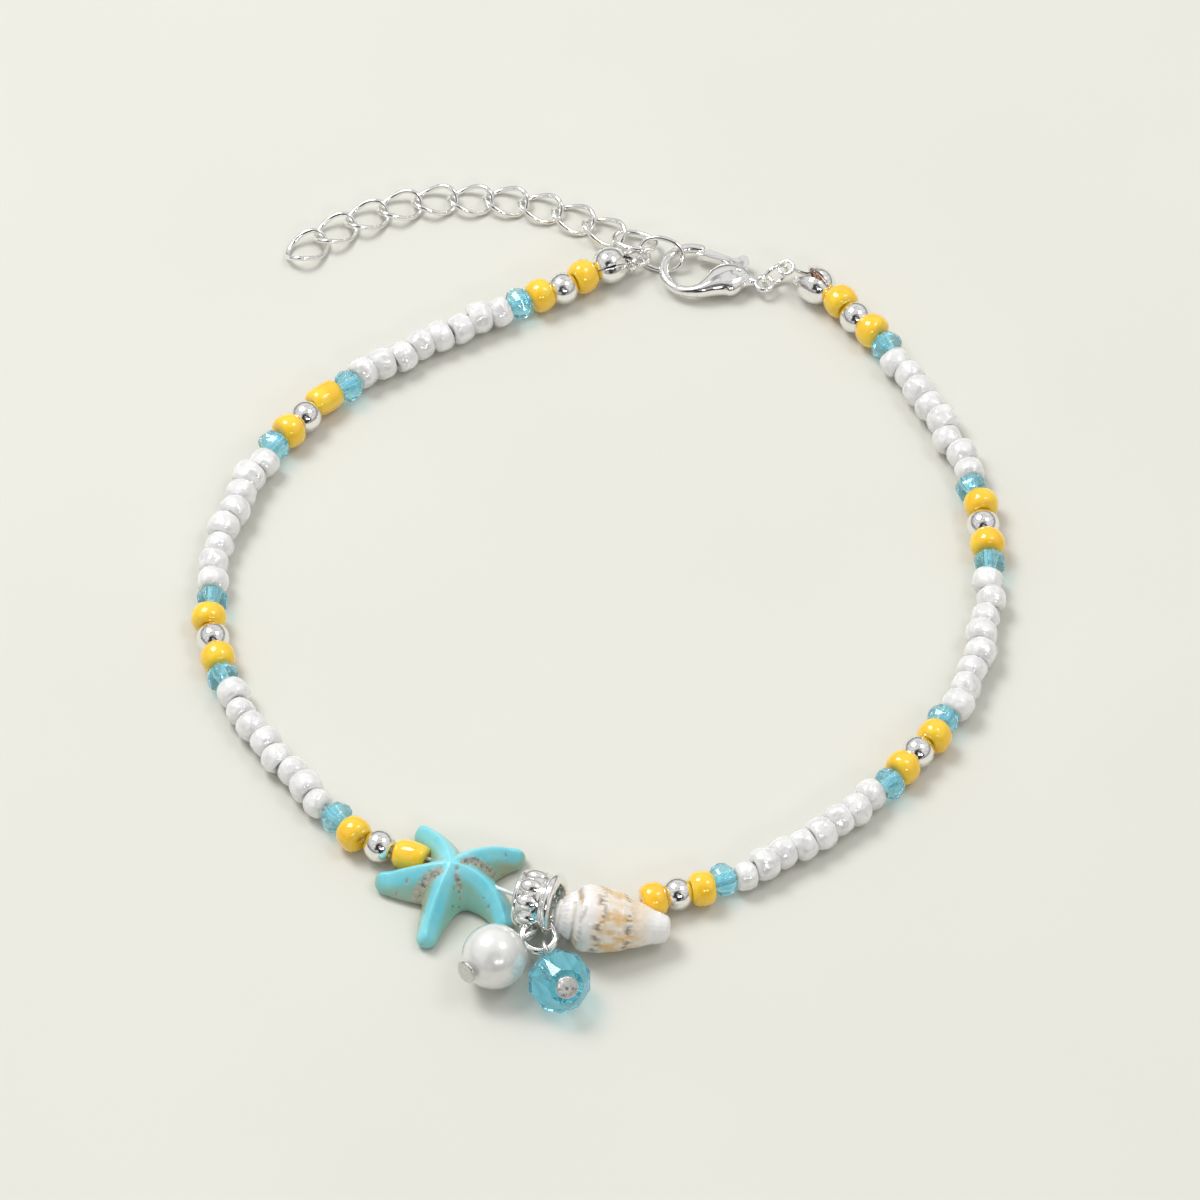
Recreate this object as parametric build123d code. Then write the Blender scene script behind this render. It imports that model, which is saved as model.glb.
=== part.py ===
from build123d import *
import math
import os

# Beaded anklet: a closed loop of glass seed beads with a starfish, a bail bead carrying
# a pearl drop and a crystal drop, a cone shell, two clamshell bead tips, a lobster clasp
# and an extender chain.  It lies flat on Z = 0, millimetres, +Z up, clasp towards +Y.
# The origin is on the floor under the middle of the whole outline.

os.makedirs("parts", exist_ok=True)

# ---- driving dimensions ---------------------------------------------------------------
ORIGIN_SHIFT = (0.067, -0.834, 0.0)  # brings the middle of the finished outline to the origin

THREAD_D = 0.4
THREAD_Z = 1.62  # height at which the thread runs inside the beads
BEAD_BORE_D = 1.24

WHITE_SIZES = ((3.0, 2.02), (2.9, 1.9), (3.05, 2.08))  # diameter, length; used in turn
YELLOW_SIZE = (3.45, 2.15)
LONG_YELLOW_SIZE = (2.9, 3.1)
SILVER_SIZE = (3.0, 2.3)
AQUA_SIZE = (3.0, 1.98)
AQUA_SIDES = 8

# beads outward from the middle: Y yellow, L long yellow, S silver ball, A aqua, W white
FIRST_LEFT_BEAD_NEAR = (-17.95, -31.9)
FIRST_RIGHT_BEAD_NEAR = (4.2, -37.8)
LEFT_BEADS = "LSYA" + "W" * 8 + "AYSYA" + "W" * 8 + "AYSLA" + "W" * 8 + "AYSY"
RIGHT_BEADS = "YSYA" + "W" * 8 + "AYSYA" + "W" * 8 + "AYSYA" + "W" * 8 + "AYSY"
SIDE_SWAY = 0.2  # how far a bead sits to one side of the thread
YAW_SWAY = 2.0  # degrees by which a bead is turned out of line

STAR_CENTRE = (-14.25, -34.85)
STAR_HOLE_D = 1.1
STAR_CORE = (2.45, 2.2)  # radius and height of the middle
# each arm: knee and tip offsets from the centre, then knee and tip radius
STAR_ARMS = (
    ((-0.9, 4.0), (-2.4, 5.65), 1.35, 1.2),
    ((3.3, 2.4), (5.85, 2.9), 1.5, 1.25),
    ((3.0, -1.3), (4.95, -3.7), 1.7, 1.15),
    ((-1.6, -3.0), (-2.25, -6.2), 1.75, 1.15),
    ((-3.6, 0.1), (-6.2, 0.65), 1.6, 1.2),
)

BAIL_CENTRE = (-5.9, -38.45, 3.13)
BAIL_YAW = -5.0
BAIL_LENGTH = 4.0
BAIL_R = 3.1
BAIL_BORE_R = 1.9
BAIL_LOBES = 9
RING_R = 1.6
RING_WIRE_R = 0.35
RING_OUT = 3.5  # ring centre from the bail's axis
RING_ALONG = 0.4
RING_DROP = 12.0  # degrees by which the ring points below the horizontal

SHELL_APEX = (-3.72, -40.3)
SHELL_TILT = 10.0  # degrees by which the tip points down
SHELL_YAW = -3.0
# distance along the shell's axis, radius
SHELL_PROFILE = (
    (0.0, 1.1), (0.4, 1.85), (1.0, 2.25), (1.5, 2.3), (1.8, 2.7), (2.5, 3.12),
    (3.5, 3.32), (4.7, 3.2), (6.0, 2.83), (7.6, 2.12), (9.3, 1.38), (10.1, 0.98),
)
SHELL_TIP_R = 0.5

PEARL_R = 3.05
PEARL_CENTRE = (-10.35, -45.2)
CRYSTAL_R = 3.1
CRYSTAL_HALF = 2.2
CRYSTAL_CENTRE = (-3.85, -47.4)
CRYSTAL_AXIS = (0.30, -0.72, 0.626)  # towards the pin's head
CRYSTAL_SIDES = 10
PIN_R = 0.28
PIN_HEAD = (1.1, 0.3)  # radius, thickness
EYE_R = 0.9

TIP_R = 1.75
TIP_WALL = 0.25
TIP_INSET = 0.4  # the tip's middle along the thread, from the thread's end
CRIMP = (0.75, 0.36, 1.3)  # outer radius, bore radius, length
LOOP_R = 0.75
LOOP_WIRE_R = 0.2
# clamshell tips: roll of the split, opening angle, loop centre, loop heading and pitch
LEFT_TIP = (-25.0, 8.0, (3.5, 41.05, 1.46), 151.0, 0.0)
RIGHT_TIP = (90.0, 24.0, (18.67, 40.26, 1.95), 213.0, 75.0)

CLASP_RING = (16.45, 38.81)  # centre of the clasp's tail ring
CLASP_YAW = 170.25  # from the tail ring towards the hook
CLASP_Z = 1.25  # middle of the clasp's thickness
HOOK_R = 2.8
HOOK_CENTRE = (7.45, -0.45)
HOOK_WIRE_R = 0.48
BODY_THICK = 2.3
LEVER_THICK = 0.9
SLOT_THICK = 1.2
PIVOT = (2.7, -0.55)
PIVOT_R = 0.35

LINK_WIRE_R = 0.25
LINK_HALF = 2.2  # wire centre line, half length and half width
LINK_SIDE = 1.6
LINK_PITCH = 3.6
LINK_ROLL = 24.0
# centre, heading, pitch and roll of the link on the clasp and of the chain's first link
CLASP_LINK = ((6.15, 42.4, 1.45), 163.0, 2.0, -46.0)
FIRST_LINK = ((3.55, 44.2, 1.35), 159.0, -3.0, 21.5)
SECOND_LINK_ROLL = -29.0
CHAIN_HEADINGS = (145.0, 154.0, 162.0, 172.0, 180.0, 187.0, 198.0, 207.0, 213.0, 222.0)
# jump rings: centre, heading and pitch of the ring's axis, wire centre radius, wire radius
LEFT_JUMP_RING = ((3.8, 42.15, 1.17), 84.0, 74.0, 1.2, 0.24)
RIGHT_JUMP_RING = ((17.58, 39.55, 1.6), 123.2, 0.0, 1.35, 0.22)

# ---- thread route: straight runs joined by tangent arcs --------------------------------
ROUTE = [
    (1.3, 40.8, THREAD_Z + 0.27), (-3.6, 38.0, THREAD_Z), (-9.5, 35.2, THREAD_Z),
    (-16.4, 31.6, THREAD_Z), (-23.3, 27.2, THREAD_Z), (-29.4, 21.8, THREAD_Z),
    (-33.9, 15.3, THREAD_Z), (-36.9, 8.0, THREAD_Z), (-38.2, 0.5, THREAD_Z),
    (-37.9, -7.0, THREAD_Z), (-35.0, -14.4, THREAD_Z), (-30.6, -21.1, THREAD_Z),
    (-26.4, -26.6, THREAD_Z), (-22.8, -30.1, THREAD_Z), (-19.4, -31.6, THREAD_Z + 0.03),
    (-15.8, -32.6, 1.85), (-9.0, -37.0, 2.75), (-4.3, -39.5, 3.6), (0.9, -39.7, 2.7),
    (5.6, -37.0, 1.68),
    (11.2, -35.3, THREAD_Z), (17.2, -32.2, THREAD_Z), (23.0, -28.0, THREAD_Z),
    (28.3, -22.9, THREAD_Z), (32.8, -17.1, THREAD_Z), (36.2, -10.4, THREAD_Z),
    (38.0, -3.2, THREAD_Z), (38.4, 4.4, THREAD_Z), (37.1, 12.0, THREAD_Z),
    (34.6, 19.7, THREAD_Z), (30.9, 26.7, THREAD_Z), (26.5, 33.5, THREAD_Z),
    (21.5, 38.3, THREAD_Z + 0.16),
]


class Route:
    """A path of straight runs joined by tangent arcs, each as large as its runs allow."""

    def __init__(self, points):
        self.points = [Vector(*point) for point in points]
        self.pieces = []  # ("line", start, end) or ("arc", start, middle, end, centre)
        self.radii = []
        start = self.points[0]
        for before, corner, after in zip(self.points, self.points[1:], self.points[2:]):
            run_in, run_out = corner - before, after - corner
            reach = 0.45 * min(run_in.length, run_out.length)
            turn = math.radians(run_in.get_angle(run_out))
            radius = reach / math.tan(turn / 2)
            self.radii.append(radius)
            arc_start = corner - run_in.normalized() * reach
            arc_end = corner + run_out.normalized() * reach
            inward = (run_out.normalized() - run_in.normalized()).normalized()
            centre = corner + inward * math.hypot(radius, reach)
            middle = centre - inward * radius
            self.pieces.append(("line", start, arc_start))
            self.pieces.append(("arc", arc_start, middle, arc_end, centre, radius, turn))
            start = arc_end
        self.pieces.append(("line", start, self.points[-1]))
        self.length = sum(self.piece_length(piece) for piece in self.pieces)

    @staticmethod
    def piece_length(piece):
        """Length of one straight run or arc."""
        if piece[0] == "line":
            return (piece[2] - piece[1]).length
        return piece[5] * piece[6]

    def at(self, distance):
        """Point and direction at a distance along the path."""
        for piece in self.pieces:
            length = self.piece_length(piece)
            if distance <= length or piece is self.pieces[-1]:
                break
            distance -= length
        if piece[0] == "line":
            direction = (piece[2] - piece[1]).normalized()
            return piece[1] + direction * distance, direction
        start, centre, radius = piece[1], piece[4], piece[5]
        out = (start - centre).normalized()
        normal = out.cross(piece[3] - centre).normalized()
        ahead = normal.cross(out)
        angle = distance / radius
        point = centre + (out * math.cos(angle) + ahead * math.sin(angle)) * radius
        return point, ahead * math.cos(angle) - out * math.sin(angle)

    def station(self, x, y, step=0.02):
        """Distance along the path of the place nearest to (x, y)."""
        count = int(self.length / step)
        places = (self.at(index * step)[0] for index in range(count))
        gaps = [math.hypot(place.X - x, place.Y - y) for place in places]
        return gaps.index(min(gaps)) * step

    def wire(self):
        """The path as a wire."""
        edges = []
        for piece in self.pieces:
            if piece[0] == "line":
                edges.append(Edge.make_line(piece[1], piece[2]))
            else:
                edges.append(Edge.make_three_point_arc(piece[1], piece[2], piece[3]))
        return Wire(edges)


# ---- shared shapes ----------------------------------------------------------------------
def frame(origin, direction, x_dir=None):
    """Location whose local Z runs along direction."""
    return Plane(origin=Vector(*origin), z_dir=Vector(*direction), x_dir=x_dir).location


def tube(points, radius):
    """Round bar along a route of three or more points."""
    route = Route(points)
    path = route.wire()
    disc = Plane(origin=path @ 0, z_dir=path % 0) * Circle(radius)
    return sweep(disc, path=path)


def bar(start, end, radius):
    """Straight round bar with round ends between two points."""
    start, end = Vector(*start), Vector(*end)
    along = end - start
    rod = frame(start, along) * Pos(0, 0, along.length / 2) * Cylinder(radius, along.length)
    return rod + Pos(*start) * Sphere(radius) + Pos(*end) * Sphere(radius)


def tapered_bar(start, end, start_radius, end_radius):
    """Round taper from a flat start to a ball-shaped end."""
    start, end = Vector(*start), Vector(*end)
    length = (end - start).length
    lean = math.asin((start_radius - end_radius) / length)
    side_x, side_y = end_radius * math.cos(lean), length + end_radius * math.sin(lean)
    half = (math.pi / 2 + lean) / 2
    mid_x, mid_y = end_radius * math.cos(half), length + end_radius * math.sin(half)
    foot = (start_radius / math.cos(lean), 0)
    top = (0, length + end_radius)
    outline = Polyline((0, 0), foot, (side_x, side_y))
    outline += ThreePointArc((side_x, side_y), (mid_x, mid_y), top)
    outline += Line(top, (0, 0))
    profile = Plane.XZ * make_face(outline)
    return frame(start, end - start) * revolve(profile, Axis.Z)


def ring(centre, normal, radius, wire_radius):
    """Closed round ring."""
    return frame(centre, normal) * Torus(radius, wire_radius)


def oval_link(half_length, half_width, wire_radius):
    """Oval chain link lying flat, its long way along local X."""
    straight = half_length - half_width
    arc = Torus(half_width, wire_radius, major_angle=180, align=Align.NONE)
    right = Pos(straight, 0, 0) * Rot(0, 0, -90) * arc
    left = Pos(-straight, 0, 0) * Rot(0, 0, 90) * arc
    side = Rot(0, 90, 0) * Cylinder(wire_radius, 2 * straight)
    return right + left + Pos(0, half_width, 0) * side + Pos(0, -half_width, 0) * side


# ---- beads --------------------------------------------------------------------------------
def seed_bead(diameter, length):
    """Rounded glass bead, its bore along local Z."""
    bore = BEAD_BORE_D / 2
    wall = diameter / 2 - bore
    profile = Pos(bore + wall / 2, 0) * Rectangle(wall, length)
    profile = fillet(profile.vertices().sort_by(Axis.X)[-2:], 0.85 * min(wall, length / 2))
    return revolve(Plane.XZ * profile, Axis.Z)


def silver_bead(diameter, length):
    """Metal ball with flat ends and a bore."""
    ball = Sphere(diameter / 2) & Box(diameter, diameter, length)
    return ball - Cylinder(BEAD_BORE_D / 2, diameter)


def aqua_bead(diameter, length):
    """Glass bead with flats along its length, bevelled ends and a bore."""
    profile = RegularPolygon(diameter / 2, AQUA_SIDES)
    body = Pos(0, 0, -length / 2) * extrude(profile, length)
    ends = body.edges().filter_by(GeomType.LINE).filter_by(Axis.Z, reverse=True)
    return chamfer(ends, 0.4) - Cylinder(BEAD_BORE_D / 2, diameter)


BEAD_KINDS = {
    "Y": ("yellow", YELLOW_SIZE, seed_bead),
    "L": ("yellow", LONG_YELLOW_SIZE, seed_bead),
    "S": ("silver", SILVER_SIZE, silver_bead),
    "A": ("aqua", AQUA_SIZE, aqua_bead),
}


def bead_size(kind, index):
    """Diameter and length of one bead of the string."""
    if kind == "W":
        return WHITE_SIZES[index % len(WHITE_SIZES)]
    return BEAD_KINDS[kind][1]


def string_beads(route, kinds, start, end, side):
    """Beads spread evenly along the route from start to end; returns solids by node."""
    sizes = [bead_size(kind, index) for index, kind in enumerate(kinds)]
    span = abs(end - start)
    gap = (span - sum(length for _, length in sizes)) / (len(kinds) - 1)
    print(side, "string gap", round(gap, 3))
    way = 1 if end > start else -1
    solids = {}
    reach = 0.0
    for index, (kind, (diameter, length)) in enumerate(zip(kinds, sizes)):
        place, direction = route.at(start + way * (reach + length / 2))
        reach += length + gap
        sway = SIDE_SWAY * math.sin(2.4 * index + 0.6)
        yaw = YAW_SWAY * math.sin(1.9 * index) if kind == "W" else 0
        heading = math.degrees(math.atan2(direction.Y, direction.X)) + yaw
        across = Vector(-direction.Y, direction.X, 0).normalized() * sway
        spot = Vector(place.X, place.Y, diameter / 2) + across
        pose = Pos(*spot) * Rot(0, 0, heading) * Rot(0, 90, 0)
        if kind == "W":
            bead, node = seed_bead(diameter, length), f"white_beads_{side}"
        else:
            colour, _, shape = BEAD_KINDS[kind]
            bead, node = shape(diameter, length), f"bead_{side}_{index + 1:02d}_{colour}"
        if kind == "A":
            pose = Pos(*spot) * Rot(0, 0, heading) * Rot(0, 90, 0) * Rot(0, 0, 22.5)
            pose = Pos(0, 0, -diameter / 2 * (1 - math.cos(math.pi / AQUA_SIDES))) * pose
        solids.setdefault(node, []).append(pose * bead)
    return solids


# ---- centre pieces --------------------------------------------------------------------------
def starfish():
    """Five tapering bent arms round a domed middle, flat below, drilled for the thread."""
    centre = Vector(*STAR_CENTRE, 0)
    core_radius, core_height = STAR_CORE
    middle = centre + Vector(0, 0, core_height)
    body = Pos(*middle) * Sphere(core_radius)
    for knee_at, tip_at, knee_radius, tip_radius in STAR_ARMS:
        knee = centre + Vector(*knee_at, 0.9 * knee_radius)
        tip = centre + Vector(*tip_at, 0.9 * tip_radius)
        root = middle + (knee - middle) * 0.1
        body += tapered_bar(root, knee, 0.8 * core_radius, knee_radius)
        body += tapered_bar(knee, tip, 0.92 * knee_radius, tip_radius)
    body -= Pos(centre.X, centre.Y, -2) * Box(30, 30, 4)
    return body - hole_along(STAR_HOLE_D / 2, STAR_CENTRE, 9)


def hole_along(radius, middle, reach):
    """Drill that follows the thread for a distance each side of a place."""
    place, direction = THREAD.at(THREAD.station(*middle))
    return frame(place, direction) * Cylinder(radius, 2 * reach)


def bail_frame():
    """Centre, axis and outward ring direction of the bail bead."""
    yaw, drop = math.radians(BAIL_YAW), math.radians(RING_DROP)
    axis = Vector(math.cos(yaw), math.sin(yaw), 0)
    front = Vector(math.sin(yaw), -math.cos(yaw), 0)
    outward = front * math.cos(drop) - Vector(0, 0, math.sin(drop))
    return Vector(*BAIL_CENTRE), axis, outward


def ring_centre():
    """Middle of the ring below the bail."""
    centre, axis, outward = bail_frame()
    return centre + axis * RING_ALONG + outward * RING_OUT


def bail():
    """Barrel bead with a row of lobes, a rim, a wide plain flange and a hanging ring."""
    centre, axis, outward = bail_frame()
    half = BAIL_LENGTH / 2
    outline = Polyline(
        (BAIL_BORE_R, -half), (BAIL_R - 0.45, -half), (BAIL_R - 0.3, -half + 0.3),
        (BAIL_BORE_R + 0.45, -half + 0.55), (BAIL_BORE_R + 0.45, 0.75),
        (BAIL_R - 0.15, 1.1), (BAIL_R, 1.5), (BAIL_R - 0.35, half), (BAIL_BORE_R, half),
        close=True,
    )
    body = revolve(Plane.XZ * make_face(outline), Axis.Z)
    lobe_radius = 0.78
    lobe = Cylinder(lobe_radius, 0.75) + Pos(0, 0, 0.375) * Sphere(lobe_radius)
    lobe += Pos(0, 0, -0.375) * Sphere(lobe_radius)
    for index in range(BAIL_LOBES):
        turn = 360 * (index + 0.5) / BAIL_LOBES
        body += Rot(0, 0, turn) * Pos(BAIL_R - lobe_radius, 0, -0.4) * lobe
    body = frame(centre, axis, x_dir=outward) * body
    loop = ring(ring_centre(), axis.cross(outward), RING_R, RING_WIRE_R)
    bore = frame(centre, axis) * Cylinder(BAIL_BORE_R, 2 * BAIL_LENGTH)
    return body + loop - bore


def cone_shell():
    """Cone-shaped sea shell on its side, its narrow tip to the right, drilled for the thread."""
    tilt, yaw = math.radians(SHELL_TILT), math.radians(SHELL_YAW)
    points = [(radius, along) for along, radius in SHELL_PROFILE]
    end = points[-1][1] + SHELL_TIP_R
    outline = Polyline((0, -0.1), *points, (0, end), close=True)
    body = revolve(Plane.XZ * make_face(outline), Axis.Z)
    slit = Pos(-2.9, 0, 6.4) * Box(2.4, 0.7, 6.4)
    body -= slit
    ahead = Vector(math.cos(yaw), math.sin(yaw), 0)
    direction = ahead * math.cos(tilt) - Vector(0, 0, math.sin(tilt))
    upward = ahead * math.sin(tilt) + Vector(0, 0, math.cos(tilt))
    body = frame((*SHELL_APEX, 0), direction, x_dir=upward) * body
    body = Pos(0, 0, -body.bounding_box().min.Z) * body
    return body - tube(THREAD_NEAR_SHELL, 0.5)


def eye_pin(head_at, shank_end, eye_centre, eye_normal, toward):
    """Wire pin with a flat head, a shank and a closed eye."""
    head_at, shank_end = Vector(*head_at), Vector(*shank_end)
    along = (shank_end - head_at).normalized()
    radius, thickness = PIN_HEAD
    head = frame(head_at - along * thickness / 2, along) * Cylinder(radius, thickness)
    joint = eye_centre + toward * EYE_R
    if (joint - shank_end).normalized().get_angle(along) < 1:
        shank = bar(head_at, joint, PIN_R)
    else:
        shank = tube([head_at, shank_end, joint], PIN_R)
    return head + shank + ring(eye_centre, eye_normal, EYE_R, PIN_R)


def ring_point(angle):
    """Wire centre of the bail's ring, at an angle from its axis side round the front."""
    _, axis, outward = bail_frame()
    turn = math.radians(angle)
    return ring_centre() + (axis * math.cos(turn) + outward * math.sin(turn)) * RING_R


def ring_tangent(angle):
    """Direction of the bail ring's wire at an angle."""
    _, axis, outward = bail_frame()
    turn = math.radians(angle)
    return outward * math.cos(turn) - axis * math.sin(turn)


def pearl_and_pin():
    """Round pearl and the pin through it, hooked on the left of the bail's ring."""
    centre = Vector(*PEARL_CENTRE, PEARL_R)
    hook = ring_point(160)
    along = (hook - centre).normalized()
    eye = centre + along * (PEARL_R + 0.2 + EYE_R + PIN_R - 0.1)
    tangent = ring_tangent(160)
    normal = (tangent - along * tangent.dot(along)).normalized()
    pearl = Pos(*centre) * Sphere(PEARL_R)
    pearl -= frame(centre, along) * Cylinder(PIN_R + 0.12, 3 * PEARL_R)
    head_at = centre - along * (PEARL_R + 0.05)
    pin = eye_pin(head_at, centre, eye, normal, along * -1)
    return pearl, pin


def crystal_body():
    """Faceted rondelle about local Z: two tables and two rows of facets each side."""
    points = []
    for index in range(CRYSTAL_SIDES):
        turn = 2 * math.pi * index / CRYSTAL_SIDES
        skew = turn + math.pi / CRYSTAL_SIDES
        for sign in (-1, 1):
            points.append((1.75 * math.cos(turn), 1.75 * math.sin(turn), sign * CRYSTAL_HALF))
            wide = CRYSTAL_R * 0.985
            points.append((wide * math.cos(skew), wide * math.sin(skew), sign * 0.55))
        points.append((CRYSTAL_R * math.cos(turn), CRYSTAL_R * math.sin(turn), 0))
    return ConvexPolyhedron(points)


def crystal_and_pin():
    """Leaning crystal rondelle and its pin, hooked on the front of the bail's ring."""
    axis = Vector(*CRYSTAL_AXIS).normalized()
    body = frame((*CRYSTAL_CENTRE, 0), axis) * crystal_body()
    lift = -body.bounding_box().min.Z
    centre = Vector(*CRYSTAL_CENTRE, lift)
    body = Pos(0, 0, lift) * body
    body -= frame(centre, axis) * Cylinder(PIN_R + 0.12, 3 * CRYSTAL_R)
    hook = ring_point(65)
    out = centre - axis * (CRYSTAL_HALF + 0.35)
    eye = hook + Vector(0.05, -0.1, -0.08)
    toward = (out - eye).normalized()
    tangent = ring_tangent(65)
    normal = (tangent - toward * tangent.dot(toward)).normalized()
    head_at = centre + axis * (CRYSTAL_HALF + 0.06)
    pin = eye_pin(head_at, out, eye, normal, toward)
    return body, pin


# ---- bead tips, rings and chain ----------------------------------------------------------
def heading_vector(heading, pitch=0.0):
    """Unit vector at a heading in the floor plane and a pitch above it, in degrees."""
    turn, rise = math.radians(heading), math.radians(pitch)
    flat = math.cos(rise)
    return Vector(math.cos(turn) * flat, math.sin(turn) * flat, math.sin(rise))


def bead_tip(centre, outward, roll, opening, loop_centre, loop_heading, loop_pitch):
    """Clamshell: two cups hinged where the thread enters, and a tab with a closed loop."""
    shell = Sphere(TIP_R) - Sphere(TIP_R - TIP_WALL)
    upper = shell & Pos(0, 0, TIP_R / 2 + 0.04) * Box(4 * TIP_R, 4 * TIP_R, TIP_R)
    hinge = Pos(-TIP_R + 0.15, 0, 0)
    lower = Rot(180, 0, 0) * upper
    tip = hinge * Rot(0, -opening / 2, 0) * hinge.inverse() * upper
    tip += hinge * Rot(0, opening / 2, 0) * hinge.inverse() * lower
    tip += hinge * Rot(0, 90, 0) * Cylinder(0.6, 0.32)
    tip -= hinge * Rot(0, 90, 0) * Cylinder(0.3, 2.0)
    heading = math.degrees(math.atan2(outward.Y, outward.X))
    tip = Pos(*centre) * Rot(0, 0, heading) * Rot(roll, 0, 0) * tip
    loop_at, normal = Vector(*loop_centre), heading_vector(loop_heading, loop_pitch)
    far = math.radians(opening / 2)
    rim = Vector(TIP_R * math.cos(far) - 0.12, 0, TIP_R * math.sin(far) + 0.25)
    rim = (Pos(*centre) * Rot(0, 0, heading) * Rot(roll, 0, 0) * Pos(*rim)).position
    reach = rim - loop_at
    side = (reach - normal * reach.dot(normal)).normalized()
    tip += bar(rim, loop_at + side * LOOP_R, LOOP_WIRE_R + 0.05)
    return tip + ring(loop_at, normal, LOOP_R, LOOP_WIRE_R)


def tips_and_crimps():
    """Both bead tips with the crimp tube that each closes over."""
    outer, bore, length = CRIMP
    nodes = {}
    ends = (("left", TIP_INSET, -1, LEFT_TIP), ("right", THREAD.length - TIP_INSET, 1, RIGHT_TIP))
    for side, distance, way, tip in ends:
        centre, direction = THREAD.at(distance)
        outward = direction * way
        nodes[f"bead_tip_{side}"] = [bead_tip(centre, outward, *tip)]
        tube_at = frame(centre, outward)
        nodes[f"crimp_{side}"] = [tube_at * (Cylinder(outer, length) - Cylinder(bore, length))]
    return nodes


def jump_ring(centre, heading, pitch, radius, wire_radius):
    """Round jump ring."""
    return ring(centre, heading_vector(heading, pitch), radius, wire_radius)


def placed_link(centre, heading, pitch, roll):
    """One oval link in place."""
    link = oval_link(LINK_HALF, LINK_SIDE, LINK_WIRE_R)
    return Pos(*centre) * Rot(0, 0, heading) * Rot(0, -pitch, 0) * Rot(roll, 0, 0) * link


def extender_chain():
    """Oval links in a row, each rolled the other way from the one before."""
    links = [placed_link(*FIRST_LINK)]
    centre, heading = Vector(*FIRST_LINK[0]), FIRST_LINK[1]
    for index, next_heading in enumerate(CHAIN_HEADINGS):
        roll = LINK_ROLL if index % 2 else -LINK_ROLL
        if index == 0:
            roll = SECOND_LINK_ROLL
        half_step = LINK_PITCH / 2
        centre += (heading_vector(heading) + heading_vector(next_heading)) * half_step
        centre.Z = LINK_SIDE * math.sin(math.radians(abs(roll))) + LINK_WIRE_R
        links.append(placed_link(centre, next_heading, 0, roll))
        heading = next_heading
    return links


# ---- lobster clasp --------------------------------------------------------------------------
def in_clasp(shape):
    """Move a shape from the clasp's own frame: X from the tail ring to the hook."""
    return Pos(*CLASP_RING, CLASP_Z) * Rot(0, 0, CLASP_YAW) * shape


def hook_point(angle, radius=HOOK_R):
    """Place on a circle about the middle of the hook, in the clasp's own frame."""
    turn = math.radians(angle)
    return HOOK_CENTRE[0] + radius * math.cos(turn), HOOK_CENTRE[1] + radius * math.sin(turn)


def clasp_body():
    """Tail ring, slotted body and the round hook that curls back to the lever."""
    inner = HOOK_R - HOOK_WIRE_R
    outline = Polyline((1.0, 0.55), (1.0, -0.55), (1.9, -1.4), (4.7, -1.65), hook_point(200, inner))
    outline += ThreePointArc(hook_point(200, inner), hook_point(130, inner), hook_point(70, inner))
    outline += Line(hook_point(70, inner), hook_point(66, HOOK_R + HOOK_WIRE_R))
    outline += ThreePointArc(hook_point(66, HOOK_R + HOOK_WIRE_R), (6.6, 3.1), (3.6, 1.9))
    outline += Line((3.6, 1.9), (1.0, 0.55))
    body = extrude(make_face(outline), BODY_THICK / 2, both=True)
    rims = body.edges().filter_by(lambda edge: abs(abs(edge.center().Z) - BODY_THICK / 2) < 0.01)
    body = fillet(rims, 0.45)
    arc = Torus(HOOK_R, HOOK_WIRE_R, major_angle=190, align=Align.NONE)
    body += Pos(*HOOK_CENTRE) * Rot(0, 0, -102) * arc
    body += Pos(*hook_point(-102)) * Sphere(HOOK_WIRE_R)
    body += ring((0, 0, 0), (0, 0, 1), 0.85, 0.28)
    body += bar((0.85, 0, 0), (1.6, 0, 0), 0.42) - Cylinder(0.57, 2)
    body -= Pos(3.6, -1.2, 0) * Box(4.2, 3.8, SLOT_THICK)
    body -= Pos(*PIVOT) * Cylinder(PIVOT_R + 0.03, 2 * BODY_THICK)
    return in_clasp(body)


def clasp_lever():
    """Flat lever with a thumb nub; its tongue closes the hook from inside."""
    outline = Polyline(
        (1.95, -0.3), (1.85, -2.2), (2.25, -2.85), (2.85, -2.75), (3.2, -2.3), (4.4, -2.6),
        (6.15, -3.1), (6.3, -2.58), (7.3, -2.58), (7.3, -2.2), (6.2, -2.1), (4.4, -1.8),
        (3.75, -1.2), (3.45, -0.3), (2.7, 0.15), close=True,
    )
    lever = extrude(make_face(outline), LEVER_THICK / 2, both=True)
    lever -= Pos(*PIVOT) * Cylinder(PIVOT_R + 0.05, 2 * LEVER_THICK)
    return in_clasp(lever)


def clasp_pivot():
    """Pin through the body and the lever."""
    return in_clasp(Pos(*PIVOT) * Cylinder(PIVOT_R, BODY_THICK - 0.04))


THREAD = Route(ROUTE)
print("thread radii", [round(radius, 1) for radius in THREAD.radii])
THREAD_NEAR_SHELL = ROUTE[16:21]


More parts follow.
